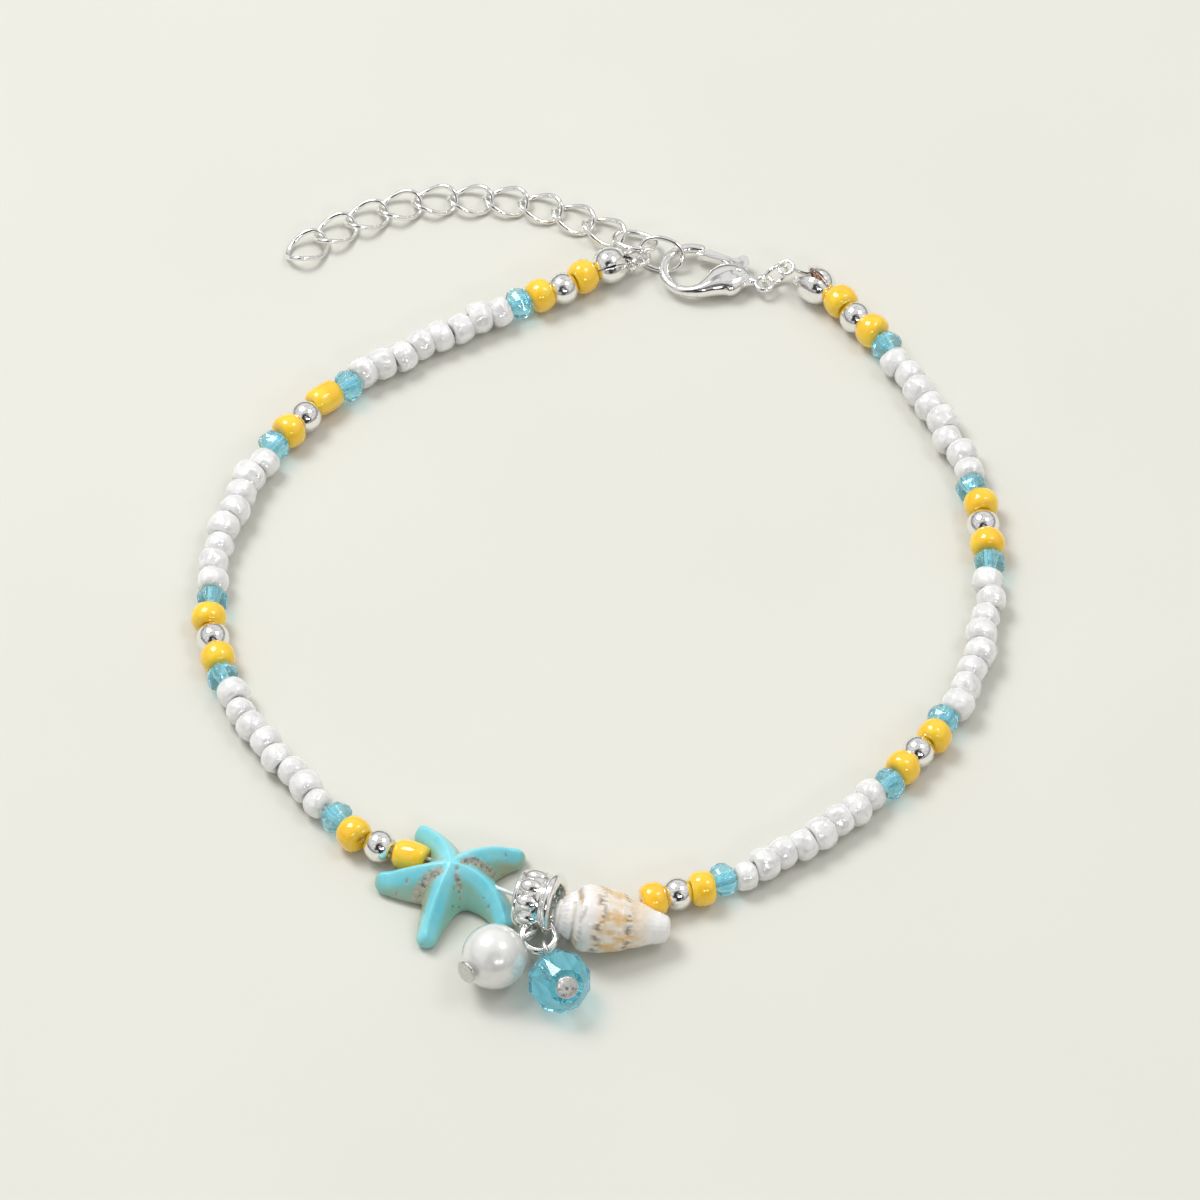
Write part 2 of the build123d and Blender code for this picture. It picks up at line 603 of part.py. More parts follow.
# ---- writing ----------------------------------------------------------------------------------
def main():
    """Build every piece and write one STEP for each node."""
    nodes = {}
    left_start = THREAD.station(*FIRST_LEFT_BEAD_NEAR)
    left_end = TIP_INSET + TIP_R + 0.15
    right_start = THREAD.station(*FIRST_RIGHT_BEAD_NEAR)
    right_end = THREAD.length - left_end
    nodes.update(string_beads(THREAD, LEFT_BEADS, left_start, left_end, "left"))
    nodes.update(string_beads(THREAD, RIGHT_BEADS, right_start, right_end, "right"))
    nodes["thread"] = [tube(ROUTE, THREAD_D / 2)]
    nodes["starfish"] = [starfish()]
    nodes["bail"] = [bail()]
    nodes["cone_shell"] = [cone_shell()]
    nodes["pearl"], nodes["pearl_pin"] = ([piece] for piece in pearl_and_pin())
    nodes["crystal"], nodes["crystal_pin"] = ([piece] for piece in crystal_and_pin())
    nodes.update(tips_and_crimps())
    nodes["jump_ring_left"] = [jump_ring(*LEFT_JUMP_RING)]
    nodes["jump_ring_right"] = [jump_ring(*RIGHT_JUMP_RING)]
    nodes["clasp_link"] = [placed_link(*CLASP_LINK)]
    nodes["extender_chain"] = extender_chain()
    nodes["clasp_body"] = [clasp_body()]
    nodes["clasp_lever"] = [clasp_lever()]
    nodes["clasp_pivot"] = [clasp_pivot()]
    for name, pieces in nodes.items():
        shape = Compound(children=[Pos(*ORIGIN_SHIFT) * piece for piece in pieces])
        export_step(shape, f"parts/{name}.step")


main()
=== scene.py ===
"""Dresses the beaded anklet: beads, starfish, shell, drops, tips, clasp and chain, each with its finish.

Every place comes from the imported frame.  Sizes are millimetres in the fields and metres in the meshes.
"""
from __future__ import annotations

import logging
import math
import random
from dataclasses import dataclass
from enum import Enum
from typing import Callable, Sequence

import bmesh
import bpy
from mathutils import Matrix, Vector, noise


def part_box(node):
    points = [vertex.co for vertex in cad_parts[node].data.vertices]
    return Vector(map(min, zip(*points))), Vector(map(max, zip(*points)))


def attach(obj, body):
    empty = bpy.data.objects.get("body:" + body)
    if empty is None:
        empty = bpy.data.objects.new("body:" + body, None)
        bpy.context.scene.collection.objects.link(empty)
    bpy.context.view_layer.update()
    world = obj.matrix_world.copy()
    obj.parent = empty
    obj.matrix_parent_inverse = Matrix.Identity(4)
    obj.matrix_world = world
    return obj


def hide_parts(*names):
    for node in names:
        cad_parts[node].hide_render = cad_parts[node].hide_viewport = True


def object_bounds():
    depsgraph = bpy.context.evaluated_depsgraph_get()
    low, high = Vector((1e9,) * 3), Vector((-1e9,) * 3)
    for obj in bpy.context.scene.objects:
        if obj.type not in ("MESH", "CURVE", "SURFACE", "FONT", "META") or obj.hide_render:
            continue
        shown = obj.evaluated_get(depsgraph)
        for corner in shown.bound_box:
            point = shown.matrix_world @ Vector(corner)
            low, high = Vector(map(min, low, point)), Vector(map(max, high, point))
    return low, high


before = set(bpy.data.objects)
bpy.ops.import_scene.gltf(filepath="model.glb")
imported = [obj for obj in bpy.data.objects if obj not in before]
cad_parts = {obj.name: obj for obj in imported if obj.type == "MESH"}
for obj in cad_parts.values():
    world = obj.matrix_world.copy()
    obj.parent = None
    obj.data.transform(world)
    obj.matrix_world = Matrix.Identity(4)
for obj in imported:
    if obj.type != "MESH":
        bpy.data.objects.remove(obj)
CAD_BOUNDS = [list(corner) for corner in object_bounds()]

MM = 0.001
ANKLET = "anklet"
LEVER = "lever"
UP = Vector((0.0, 0.0, 1.0))
log = logging.getLogger("anklet")

Piece = bpy.types.Object
Socket = bpy.types.NodeSocket
Pair = tuple[float, float]
Point = tuple[float, float, float]
Profile = Sequence[Pair]
Rows = Sequence[Sequence[float]]


# ---- bench: modelling helpers ------------------------------------------------------------
def mm(*values: float) -> Vector:
    """A point in metres from millimetres."""
    return Vector(values) * MM


def turned(degrees: float, axis: str) -> Matrix:
    """Turn about one of the axes."""
    return Matrix.Rotation(math.radians(degrees), 4, axis)


def full_turn(steps: int) -> list[float]:
    """Angles of a full turn in equal steps, in radians."""
    return [math.tau * step / steps for step in range(steps)]


def below(upper: Profile) -> list[Pair]:
    """The lower half of a profile, from its upper half."""
    return [(across, -up) for across, up in reversed(upper)]


def store(piece: Piece, names: Sequence[str], rows: Rows) -> None:
    """Store values of each point as attributes of a piece.

    Args:
        piece: The piece.
        names: Name of each attribute.
        rows: The values of each point, in the order of the names.
    """
    for name, values in zip(names, zip(*rows)):
        piece.data.attributes.new(name, "FLOAT", "POINT").data.foreach_set("value", values)


def swollen(value: float, power: float) -> float:
    """A sine or cosine raised to a power with its sign kept, which squares a round section."""
    return math.copysign(abs(value) ** power, value)


def newest(name: str) -> Piece:
    """Name the object that the last operator added, and its data.

    Args:
        name: New name.

    Returns:
        The object.
    """
    piece = bpy.context.active_object
    piece.name = name
    piece.data.name = name
    return piece


def added(operator: Callable[..., object], name: str, **settings: object) -> Piece:
    """Add an object by an operator.

    Args:
        operator: Blender operator that adds one object.
        name: Name for the object and its data.
        **settings: Values for the operator.

    Returns:
        The new object.
    """
    bpy.ops.object.select_all(action="DESELECT")
    operator(**settings)
    return newest(name)


def activate(*pieces: Piece) -> None:
    """Select these objects alone and make the first one active."""
    bpy.ops.object.select_all(action="DESELECT")
    for piece in pieces:
        piece.select_set(True)
    bpy.context.view_layer.objects.active = pieces[0]


def apply_modifier(piece: Piece, kind: str, **settings: object) -> None:
    """Add a modifier and apply it at once.

    Args:
        piece: Object to change.
        kind: Modifier type.
        **settings: Values of the modifier.
    """
    activate(piece)
    modifier = piece.modifiers.new(kind.title(), kind)
    for key, value in settings.items():
        setattr(modifier, key, value)
    bpy.ops.object.modifier_apply(modifier=modifier.name)


def edit(piece: Piece, operator: Callable[..., object], **settings: object) -> None:
    """Run one mesh operator on the whole of a piece.

    Args:
        piece: Object to edit.
        operator: Blender operator for edit mode.
        **settings: Values for the operator.
    """
    activate(piece)
    bpy.ops.object.mode_set(mode="EDIT")
    bpy.ops.mesh.select_all(action="SELECT")
    operator(**settings)
    bpy.ops.object.mode_set(mode="OBJECT")


def smooth(piece: Piece, degrees: float = 180.0) -> None:
    """Shade smooth across edges flatter than an angle.

    Args:
        piece: Object to shade.
        degrees: Edges flatter than this look smooth.
    """
    activate(piece)
    if degrees >= 180.0:
        bpy.ops.object.shade_smooth()
    else:
        bpy.ops.object.shade_smooth_by_angle(angle=math.radians(degrees))


def settle(piece: Piece, place: Matrix) -> Piece:
    """Move a piece and apply the move, so that its object stays at the origin.

    Args:
        piece: Object whose mesh is moved.
        place: Where its own frame goes.

    Returns:
        The same object.
    """
    activate(piece)
    piece.matrix_world = place
    bpy.ops.object.transform_apply(location=True, rotation=True, scale=True)
    return piece


def rested(piece: Piece) -> Piece:
    """Move a piece straight up or down until it rests on the floor."""
    lowest = min(vertex.co.z for vertex in piece.data.vertices)
    return settle(piece, Matrix.Translation((0.0, 0.0, -lowest)))


def keep_inside(piece: Piece) -> Piece:
    """Shift a piece back where it stands out of the solid model's box.

    Args:
        piece: Object whose place is in its mesh.

    Returns:
        The same object.
    """
    shift = Vector((0.0, 0.0, 0.0))
    for axis in range(3):
        places = [vertex.co[axis] for vertex in piece.data.vertices]
        low, high = CAD_BOUNDS[0][axis], CAD_BOUNDS[1][axis]
        shift[axis] = max(0.0, low - min(places)) - max(0.0, max(places) - high)
    return settle(piece, Matrix.Translation(shift)) if shift.length > 0.0 else piece


def copy_of(pattern: Piece, name: str) -> Piece:
    """A copy with its own mesh, linked to the scene.

    Args:
        pattern: Object to copy.
        name: Name of the copy.

    Returns:
        The copy.
    """
    piece = pattern.copy()
    piece.data = pattern.data.copy()
    piece.name = name
    piece.data.name = name
    bpy.context.scene.collection.objects.link(piece)
    return piece


def joined(pieces: Sequence[Piece], name: str) -> Piece:
    """Join pieces into one object.

    Args:
        pieces: Objects to join.
        name: Name of the result.

    Returns:
        The joined object.
    """
    activate(*pieces)
    bpy.ops.object.join()
    return newest(name)


def discard(*pieces: Piece) -> None:
    """Remove objects that were only patterns."""
    for piece in pieces:
        bpy.data.objects.remove(piece)


def close_up(piece: Piece) -> None:
    """Merge doubles and turn all faces outwards."""
    edit(piece, bpy.ops.mesh.remove_doubles, threshold=1e-6)
    edit(piece, bpy.ops.mesh.normals_make_consistent, inside=False)


def select_parts(piece: Piece, kind: str, test: Callable[[object], bool]) -> None:
    """Enter edit mode with the parts that pass a test selected.

    Args:
        piece: Object to edit.
        kind: EDGE or FACE.
        test: Says whether an edge or a face is wanted.
    """
    activate(piece)
    bpy.ops.object.mode_set(mode="EDIT")
    bpy.ops.mesh.select_mode(type=kind)
    bpy.ops.mesh.select_all(action="DESELECT")
    body = bmesh.from_edit_mesh(piece.data)
    for part in body.edges if kind == "EDGE" else body.faces:
        if test(part):
            part.select = True
    body.select_flush_mode()
    bmesh.update_edit_mesh(piece.data)


def outlined(name: str, points: Sequence[Vector], fill: str = "NGON") -> Piece:
    """Closed outline through points.

    Args:
        name: Name of the piece.
        points: Corners in metres.
        fill: NGON for a face inside it, NOTHING for the line alone.

    Returns:
        The outline.
    """
    piece = added(bpy.ops.mesh.primitive_circle_add, name, vertices=len(points), radius=MM, fill_type=fill)
    for vertex, point in zip(piece.data.vertices, points):
        vertex.co = point
    return piece


def lathe(name: str, profile: Profile, steps: int, closed: bool = True) -> Piece:
    """Turn a profile round Z.

    Args:
        name: Name of the piece.
        profile: Radius and height of each point, in millimetres.
        steps: Divisions of the full turn.
        closed: True where the profile is a loop, as for a bored bead.

    Returns:
        The turned piece, smooth, about the origin.
    """
    piece = outlined(name, [mm(radius, 0.0, height) for radius, height in profile], "NOTHING")
    if not closed:
        ends = {0, len(profile) - 1}
        select_parts(piece, "EDGE", lambda edge: {vertex.index for vertex in edge.verts} == ends)
        bpy.ops.mesh.delete(type="EDGE_FACE")
        bpy.ops.object.mode_set(mode="OBJECT")
    edit(piece, bpy.ops.mesh.spin, steps=steps, angle=math.tau, center=(0, 0, 0), axis=(0, 0, 1))
    close_up(piece)
    smooth(piece)
    return piece


def loft(name: str, sections: Sequence[Sequence[Vector]]) -> Piece:
    """Extrude a closed section along a row of sections.

    Args:
        name: Name of the piece.
        sections: Rings of points in metres, each with the same count and order.

    Returns:
        The closed piece.
    """
    piece = outlined(name, sections[0])
    bpy.ops.object.mode_set(mode="EDIT")
    bpy.ops.mesh.select_mode(type="FACE")
    bpy.ops.mesh.select_all(action="SELECT")
    last = list(range(len(sections[0])))
    for section in sections[1:]:
        bpy.ops.mesh.extrude_region_move()
        body = bmesh.from_edit_mesh(piece.data)
        body.verts.ensure_lookup_table()
        body.verts.index_update()
        following = []
        for index, point in zip(last, section):
            corner = body.verts[index]
            ends = (edge.other_vert(corner) for edge in corner.link_edges)
            fresh = next(end for end in ends if end.select)
            fresh.co = point
            following.append(fresh.index)
        last = following
        bmesh.update_edit_mesh(piece.data)
    bpy.ops.object.mode_set(mode="OBJECT")
    close_up(piece)
    return piece


def wire(name: str, route: Sequence[Vector], radius: float, closed: bool = False) -> Piece:
    """Round wire along a smooth line.

    Args:
        name: Name of the piece.
        route: Control points in metres.
        radius: Wire radius in millimetres.
        closed: True for an endless wire.

    Returns:
        The wire as a mesh with closed ends.
    """
    curve = added(bpy.ops.curve.primitive_nurbs_path_add, name).data
    curve.splines.clear()
    spline = curve.splines.new("NURBS")
    spline.points.add(len(route) - 1)
    for control, point in zip(spline.points, route):
        control.co = (*point, 1.0)
        control.radius = 1.0
    spline.use_cyclic_u = closed
    spline.use_endpoint_u = not closed
    spline.order_u = 3
    spline.resolution_u = 6
    curve.dimensions = "3D"
    curve.bevel_depth = radius * MM
    curve.bevel_resolution = 3
    curve.use_fill_caps = True
    bpy.ops.object.convert(target="MESH")
    piece = newest(name)
    close_up(piece)
    smooth(piece, 50.0)
    return piece


def facing(origin: Vector, z_axis: Vector, x_hint: Vector = UP) -> Matrix:
    """Frame at a point with its Z along a direction.

    Args:
        origin: Place in metres.
        z_axis: Direction of Z.
        x_hint: Direction that X leans to.

    Returns:
        The frame as a matrix.
    """
    z_dir = z_axis.normalized()
    hint = x_hint
    if abs(hint.normalized().dot(z_dir)) > 0.98:
        hint = Vector((1.0, 0.0, 0.0))
    x_dir = (hint - z_dir * hint.dot(z_dir)).normalized()
    turn = Matrix((x_dir, z_dir.cross(x_dir), z_dir)).transposed().to_4x4()
    return Matrix.Translation(origin) @ turn


def middle_of(node: str) -> Vector:
    """Middle of a node's box, in metres."""
    low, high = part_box(node)
    return (low + high) / 2


def loose_centres(node: str) -> list[Vector]:
    """Middle of each loose solid of a node.

    Args:
        node: Node that holds loose solids.

    Returns:
        One centre for each of them.
    """
    body = bmesh.new()
    body.from_mesh(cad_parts[node].data)
    bmesh.ops.remove_doubles(body, verts=body.verts, dist=1e-7)
    waiting = set(body.verts)
    centres = []
    while waiting:
        group, edge = set(), [waiting.pop()]
        while edge:
            vertex = edge.pop()
            group.add(vertex)
            beside = {link.other_vert(vertex) for link in vertex.link_edges} & waiting
            waiting -= beside
            edge += beside
        low = Vector([min(vertex.co[axis] for vertex in group) for axis in range(3)])
        high = Vector([max(vertex.co[axis] for vertex in group) for axis in range(3)])
        centres.append((low + high) / 2)
    body.free()
    return centres


def spline_value(part: float, before: float, start: float, end: float, after: float) -> float:
    """Smooth value between start and end, 0 at start and 1 at end, led by their two neighbours.

    Args:
        part: How far from start to end, from 0 to 1.
        before: Neighbour before the start.
        start: Value at 0.
        end: Value at 1.
        after: Neighbour after the end.

    Returns:
        The value.
    """
    slope = (end - before) * part
    bend = (2 * before - 5 * start + 4 * end - after) * part**2
    return 0.5 * (2 * start + slope + bend + (3 * start - before - 3 * end + after) * part**3)


def sample(rows: Rows, per_span: int) -> list[tuple[float, ...]]:
    """Smooth line through rows of numbers.

    Args:
        rows: Control rows, each of the same length.
        per_span: Steps between two rows.

    Returns:
        The rows in between, both ends included.
    """
    line = []
    last = len(rows) - 1
    for span in range(last):
        near = [rows[min(max(span + shift, 0), last)] for shift in (-1, 0, 1, 2)]
        for step in range(per_span):
            line.append(tuple(spline_value(step / per_span, *values) for values in zip(*near)))
    return line + [tuple(rows[last])]


def sweep(name: str, rows: Rows, normal: Vector, points: int = 20, fullness: float = 2.2) -> Piece:
    """Carry a rounded section along a line.

    Args:
        name: Name of the piece.
        rows: Place, half width and half height of each section, in millimetres.
        normal: Direction of the height.
        points: Points round a section.
        fullness: 2 for an ellipse, more for a squarer section.

    Returns:
        The closed piece.
    """
    power = 2.0 / fullness
    places = [Vector(row[:3]) for row in rows]
    sections = []
    for index, row in enumerate(rows):
        ahead = (places[min(index + 1, len(rows) - 1)] - places[max(index - 1, 0)]).normalized()
        across = ahead.cross(normal).normalized()
        upward = across.cross(ahead)
        section = []
        for turn in full_turn(points):
            spot = places[index] + across * swollen(math.cos(turn), power) * row[3]
            section.append((spot + upward * swollen(math.sin(turn), power) * row[4]) * MM)
        sections.append(section)
    return loft(name, sections)


def rounded_ends(rows: Rows, steps: int = 5) -> list[tuple[float, ...]]:
    """Add a rounded cap to both ends of a row of sections.

    Args:
        rows: Place, half width and half height of each section.
        steps: Sections of each cap.

    Returns:
        The rows with their caps.
    """
    caps = []
    for first, second in ((rows[0], rows[1]), (rows[-1], rows[-2])):
        end = Vector(first[:3])
        ahead = (end - Vector(second[:3])).normalized()
        cap = []
        for step in range(1, steps + 1):
            turn = math.pi / 2 * step / (steps + 0.35)
            spot = end + ahead * first[4] * math.sin(turn)
            cap.append((*spot, first[3] * math.cos(turn), first[4] * math.cos(turn)))
        caps.append(cap)
    return caps[0][::-1] + [tuple(row) for row in rows] + caps[1]


def plate(name: str, outline: Profile, thickness: float, edge: float) -> Piece:
    """Flat plate about the floor plane with rounded edges.

    Args:
        name: Name of the plate.
        outline: Corners in millimetres.
        thickness: Full thickness in millimetres.
        edge: Radius of the edges in millimetres.

    Returns:
        The plate.
    """
    piece = outlined(name, [mm(across, up, -thickness / 2) for across, up in outline])
    raised = {"value": (0.0, 0.0, thickness * MM)}
    edit(piece, bpy.ops.mesh.extrude_region_move, TRANSFORM_OT_translate=raised)
    close_up(piece)
    apply_modifier(piece, "BEVEL", width=edge * MM, segments=3, limit_method="ANGLE", angle_limit=0.35)
    smooth(piece, 35.0)
    return piece


def arc(centre: Pair, radius: float, start: float, end: float, steps: int) -> list[Pair]:
    """Points of an arc.

    Args:
        centre: Middle of the arc.
        radius: Its radius.
        start: First angle in degrees.
        end: Last angle in degrees.
        steps: Divisions.

    Returns:
        The points, both ends included.
    """
    turns = [math.radians(start + (end - start) * index / steps) for index in range(steps + 1)]
    return [(centre[0] + radius * math.cos(turn), centre[1] + radius * math.sin(turn)) for turn in turns]


def ease(value: float, low: float, high: float) -> float:
    """Smooth step from 0 at low to 1 at high."""
    part = min(1.0, max(0.0, (value - low) / (high - low)))
    return part * part * (3.0 - 2.0 * part)


def heading(degrees: float, rise: float = 0.0) -> Vector:
    """Unit vector at a heading on the floor and a rise above it."""
    turn, lift = math.radians(degrees), math.radians(rise)
    return Vector((math.cos(turn) * math.cos(lift), math.sin(turn) * math.cos(lift), math.sin(lift)))


def cut_seam(piece: Piece, seam: float, columns: int) -> None:
    """Cut a fine gap across a ring's wire and cap both ends.

    Args:
        piece: Ring about the origin.
        seam: Angle of the gap in degrees.
        columns: How many columns of faces the ring has.
    """
    step = 360.0 / columns
    middle = (math.floor(seam / step) + 0.5) * step

    def at_seam(face: bmesh.types.BMFace) -> bool:
        """Whether a face lies in the one column at the seam."""
        spot = face.calc_center_median()
        return abs((math.degrees(math.atan2(spot.y, spot.x)) - middle + 180.0) % 360.0 - 180.0) < step / 2

    select_parts(piece, "FACE", at_seam)
    bpy.ops.mesh.delete(type="FACE")
    bpy.ops.mesh.select_mode(type="EDGE")
    bpy.ops.mesh.select_non_manifold()
    bpy.ops.mesh.fill_holes(sides=0)
    bpy.ops.object.mode_set(mode="OBJECT")
    narrow = math.radians(step) * 0.42
    for vertex in piece.data.vertices:
        turn = math.atan2(vertex.co.y, vertex.co.x) - math.radians(middle)
        turn = (turn + math.pi) % math.tau - math.pi
        if abs(turn) < math.radians(step):
            vertex.co = Matrix.Rotation(-math.copysign(narrow, turn), 4, "Z") @ vertex.co


def ring(
    name: str, centre: Vector, normal: Vector, radius: float, wire_radius: float, seam: float | None = None
) -> Piece:
    """Round wire ring, with a cut seam where it was bent shut.

    Args:
        name: Name of the piece.
        centre: Middle of the ring in metres.
        normal: Axis of the ring.
        radius: Radius of the wire's middle in millimetres.
        wire_radius: Radius of the wire in millimetres.
        seam: Angle of the seam in degrees, or None for a soldered ring.

    Returns:
        The ring in place.
    """
    columns = 48
    piece = added(
        bpy.ops.mesh.primitive_torus_add, name,
        major_segments=columns, minor_segments=14, major_radius=radius * MM, minor_radius=wire_radius * MM,
    )
    if seam is not None:
        cut_seam(piece, seam, columns)
    close_up(piece)
    smooth(piece, 60.0)
    return settle(piece, facing(centre, normal))


# ---- shader bench ------------------------------------------------------------------------
class Nodes:
    """A node tree with short calls to fill it."""

    def __init__(self, tree: bpy.types.NodeTree) -> None:
        """Take up a tree."""
        self.tree = tree

    def link(self, source: Socket, target: Socket) -> None:
        """Join two sockets."""
        self.tree.links.new(source, target)

    def put(self, target: Socket, value: Socket | float | Point) -> None:
        """Feed a socket from another one, or set it.

        Args:
            target: Socket to fill.
            value: A socket, a number, or a colour or vector of three numbers.
        """
        if isinstance(value, bpy.types.NodeSocket):
            self.link(value, target)
        elif target.type == "RGBA":
            target.default_value = (*value, 1.0)
        else:
            target.default_value = value

    def node(self, kind: str, **values: object) -> bpy.types.Node:
        """Add a node and set its plain properties.

        Args:
            kind: Type of the node.
            **values: Its plain properties.

        Returns:
            The node.
        """
        node = self.tree.nodes.new(kind)
        for key, value in values.items():
            setattr(node, key, value)
        return node

    def noise(
        self, place: Socket, scale: Socket | float,
        detail: float = 3.0, rough: float = 0.5, kind: str = "3D",
    ) -> Socket:
        """Noise value.

        Args:
            place: Coordinates.
            scale: Scale per metre.
            detail: How many finer layers it has.
            rough: How strong they are.
            kind: Its dimensions.

        Returns:
            The value.
        """
        node = self.node("ShaderNodeTexNoise", noise_dimensions=kind)
        for name, value in (("Vector", place), ("Scale", scale), ("Detail", detail), ("Roughness", rough)):
            self.put(node.inputs[name], value)
        return node.outputs["Fac"]

    def ramp(self, value: Socket, *stops: tuple[float, float | Point]) -> Socket:
        """Colour ramp.

        Args:
            value: What it reads.
            *stops: Place and colour of each stop in order, or place and grey value.

        Returns:
            The colour.
        """
        node = self.node("ShaderNodeValToRGB")
        elements = node.color_ramp.elements
        while len(elements) < len(stops):
            elements.new(0.5)
        for element, (place, colour) in zip(elements, stops):
            element.position = place
            element.color = (*((colour,) * 3 if isinstance(colour, float) else colour), 1.0)
        self.link(value, node.inputs["Fac"])
        return node.outputs["Color"]

    def fit(
        self, value: Socket, low: float, high: float, to_low: float = 0.0, to_high: float = 1.0
    ) -> Socket:
        """Map the range from low to high onto another one, clamped.

        Args:
            value: What it reads.
            low: Start of the range.
            high: End of the range.
            to_low: What low becomes.
            to_high: What high becomes.

        Returns:
            The value.
        """
        node = self.node("ShaderNodeMapRange")
        for socket, number in zip(node.inputs, (value, low, high, to_low, to_high)):
            self.put(socket, number)
        return node.outputs[0]

    def blend(
        self, amount: Socket | float, first: Socket | Point, second: Socket | Point, kind: str = "MIX"
    ) -> Socket:
        """Mix two colours.

        Args:
            amount: 0 for the first colour alone, 1 for the second.
            first: First colour.
            second: Second colour.
            kind: How they mix.

        Returns:
            The colour.
        """
        node = self.node("ShaderNodeMix", data_type="RGBA", blend_type=kind)
        for index, value in ((0, amount), (6, first), (7, second)):
            self.put(node.inputs[index], value)
        return node.outputs[2]

    def maths(self, kind: str, first: Socket | float, second: Socket | float) -> Socket:
        """One sum of two values.

        Args:
            kind: The operation.
            first: First value.
            second: Second value.

        Returns:
            The value.
        """
        node = self.node("ShaderNodeMath", operation=kind)
        self.put(node.inputs[0], first)
        self.put(node.inputs[1], second)
        return node.outputs[0]

    def times(self, first: Socket | float, second: Socket | float) -> Socket:
        """Product of two values."""
        return self.maths("MULTIPLY", first, second)

    def larger(self, first: Socket | float, second: Socket | float) -> Socket:
        """The larger of two values."""
        return self.maths("MAXIMUM", first, second)


class Shader(Nodes):
    """A material's nodes round its main shader."""

    def __init__(self, name: str) -> None:
        """Start an empty material of this name.

        Args:
            name: Name of the material.
        """
        self.material = bpy.data.materials.new(name)
        self.material.use_nodes = True
        super().__init__(self.material.node_tree)
        self.tree.nodes.clear()
        self.output = self.node("ShaderNodeOutputMaterial")
        self.main = self.node("ShaderNodeBsdfPrincipled")
        self.link(self.main.outputs["BSDF"], self.output.inputs["Surface"])

    def feed(self, **values: Socket | float | Point) -> None:
        """Feed or set the main shader's sockets, named with underscores for spaces."""
        for name, value in values.items():
            self.put(self.main.inputs[name.replace("_", " ")], value)

    def coordinates(self) -> Socket:
        """Object coordinates."""
        return self.node("ShaderNodeTexCoord").outputs["Object"]

    def attribute(self, name: str) -> Socket:
        """Value of one of the piece's own attributes."""
        return self.node("ShaderNodeAttribute", attribute_name=name).outputs["Fac"]

    def bump(self, height: Socket, depth: float, strength: float) -> None:
        """Raise the surface by a height, its depth in metres.

        Args:
            height: The height, from 0 to 1.
            depth: Its depth in metres.
            strength: How strongly it shows.
        """
        node = self.node("ShaderNodeBump")
        for name, value in (("Strength", strength), ("Distance", depth), ("Height", height)):
            self.put(node.inputs[name], value)
        self.feed(Normal=node.outputs["Normal"])

    def flaws(self, scale: float) -> bpy.types.NodeOutputs:
        """Mask and Cloud of the shared small flaws, at a scale per metre.

        Args:
            scale: Scale per metre.

        Returns:
            The group's outputs.
        """
        node = self.node("ShaderNodeGroup", node_tree=small_flaws())
        node.inputs["Scale"].default_value = scale
        return node.outputs


def small_flaws() -> bpy.types.NodeTree:
    """Group of fine unevenness that several finishes share: a mask of specks and a gentle cloud.

    Returns:
        The group.
    """
    name = "small_flaws"
    if name in bpy.data.node_groups:
        return bpy.data.node_groups[name]
    group = bpy.data.node_groups.new(name, "ShaderNodeTree")
    group.interface.new_socket(name="Scale", in_out="INPUT", socket_type="NodeSocketFloat")
    for label in ("Mask", "Cloud"):
        group.interface.new_socket(name=label, in_out="OUTPUT", socket_type="NodeSocketFloat")
    nodes = Nodes(group)
    scale = nodes.node("NodeGroupInput").outputs["Scale"]
    leave = nodes.node("NodeGroupOutput")
    place = nodes.node("ShaderNodeTexCoord").outputs["Object"]
    fine = nodes.noise(place, nodes.times(scale, 4.0), 5.0, kind="4D")
    nodes.link(nodes.fit(fine, 0.56, 0.72), leave.inputs["Mask"])
    nodes.link(nodes.noise(place, scale, 2.0, kind="4D"), leave.inputs["Cloud"])
    return group


# ---- finishes ----------------------------------------------------------------------------
@dataclass(frozen=True)
class Recipe:
    """A finish: the name of its material, and how its nodes are laid."""

    name: str

    def lay(self, shader: Shader) -> None:
        """Lay the nodes, which each finish does in its own way."""
        raise NotImplementedError

    def material(self) -> bpy.types.Material:
        """Build the material.

        Returns:
            The material.
        """
        shader = Shader(self.name)
        self.lay(shader)
        return shader.material


@dataclass(frozen=True)
class OpaqueGlass(Recipe):
    """Glossy opaque glass with faint clouds and a clear skin."""

    dark: Point
    light: Point
    roughness: float = 0.12
    glow: float = 0.1
    scale: float = 420.0
    bump: float = 0.00002

    def lay(self, shader: Shader) -> None:
        """Lay the nodes.

        Args:
            shader: The material's nodes.
        """
        flaws = shader.flaws(self.scale)
        shader.feed(
            Base_Color=shader.ramp(flaws["Cloud"], (0.36, self.dark), (0.6, self.light)),
            Roughness=shader.fit(flaws["Mask"], 0.0, 1.0, self.roughness, self.roughness * 2.2),
            Coat_Weight=0.7, Coat_Roughness=0.04, IOR=1.52,
            Subsurface_Weight=self.glow, Subsurface_Radius=(0.0012, 0.0009, 0.0007), Subsurface_Scale=0.6,
        )
        shader.bump(flaws["Cloud"], self.bump, 0.7)


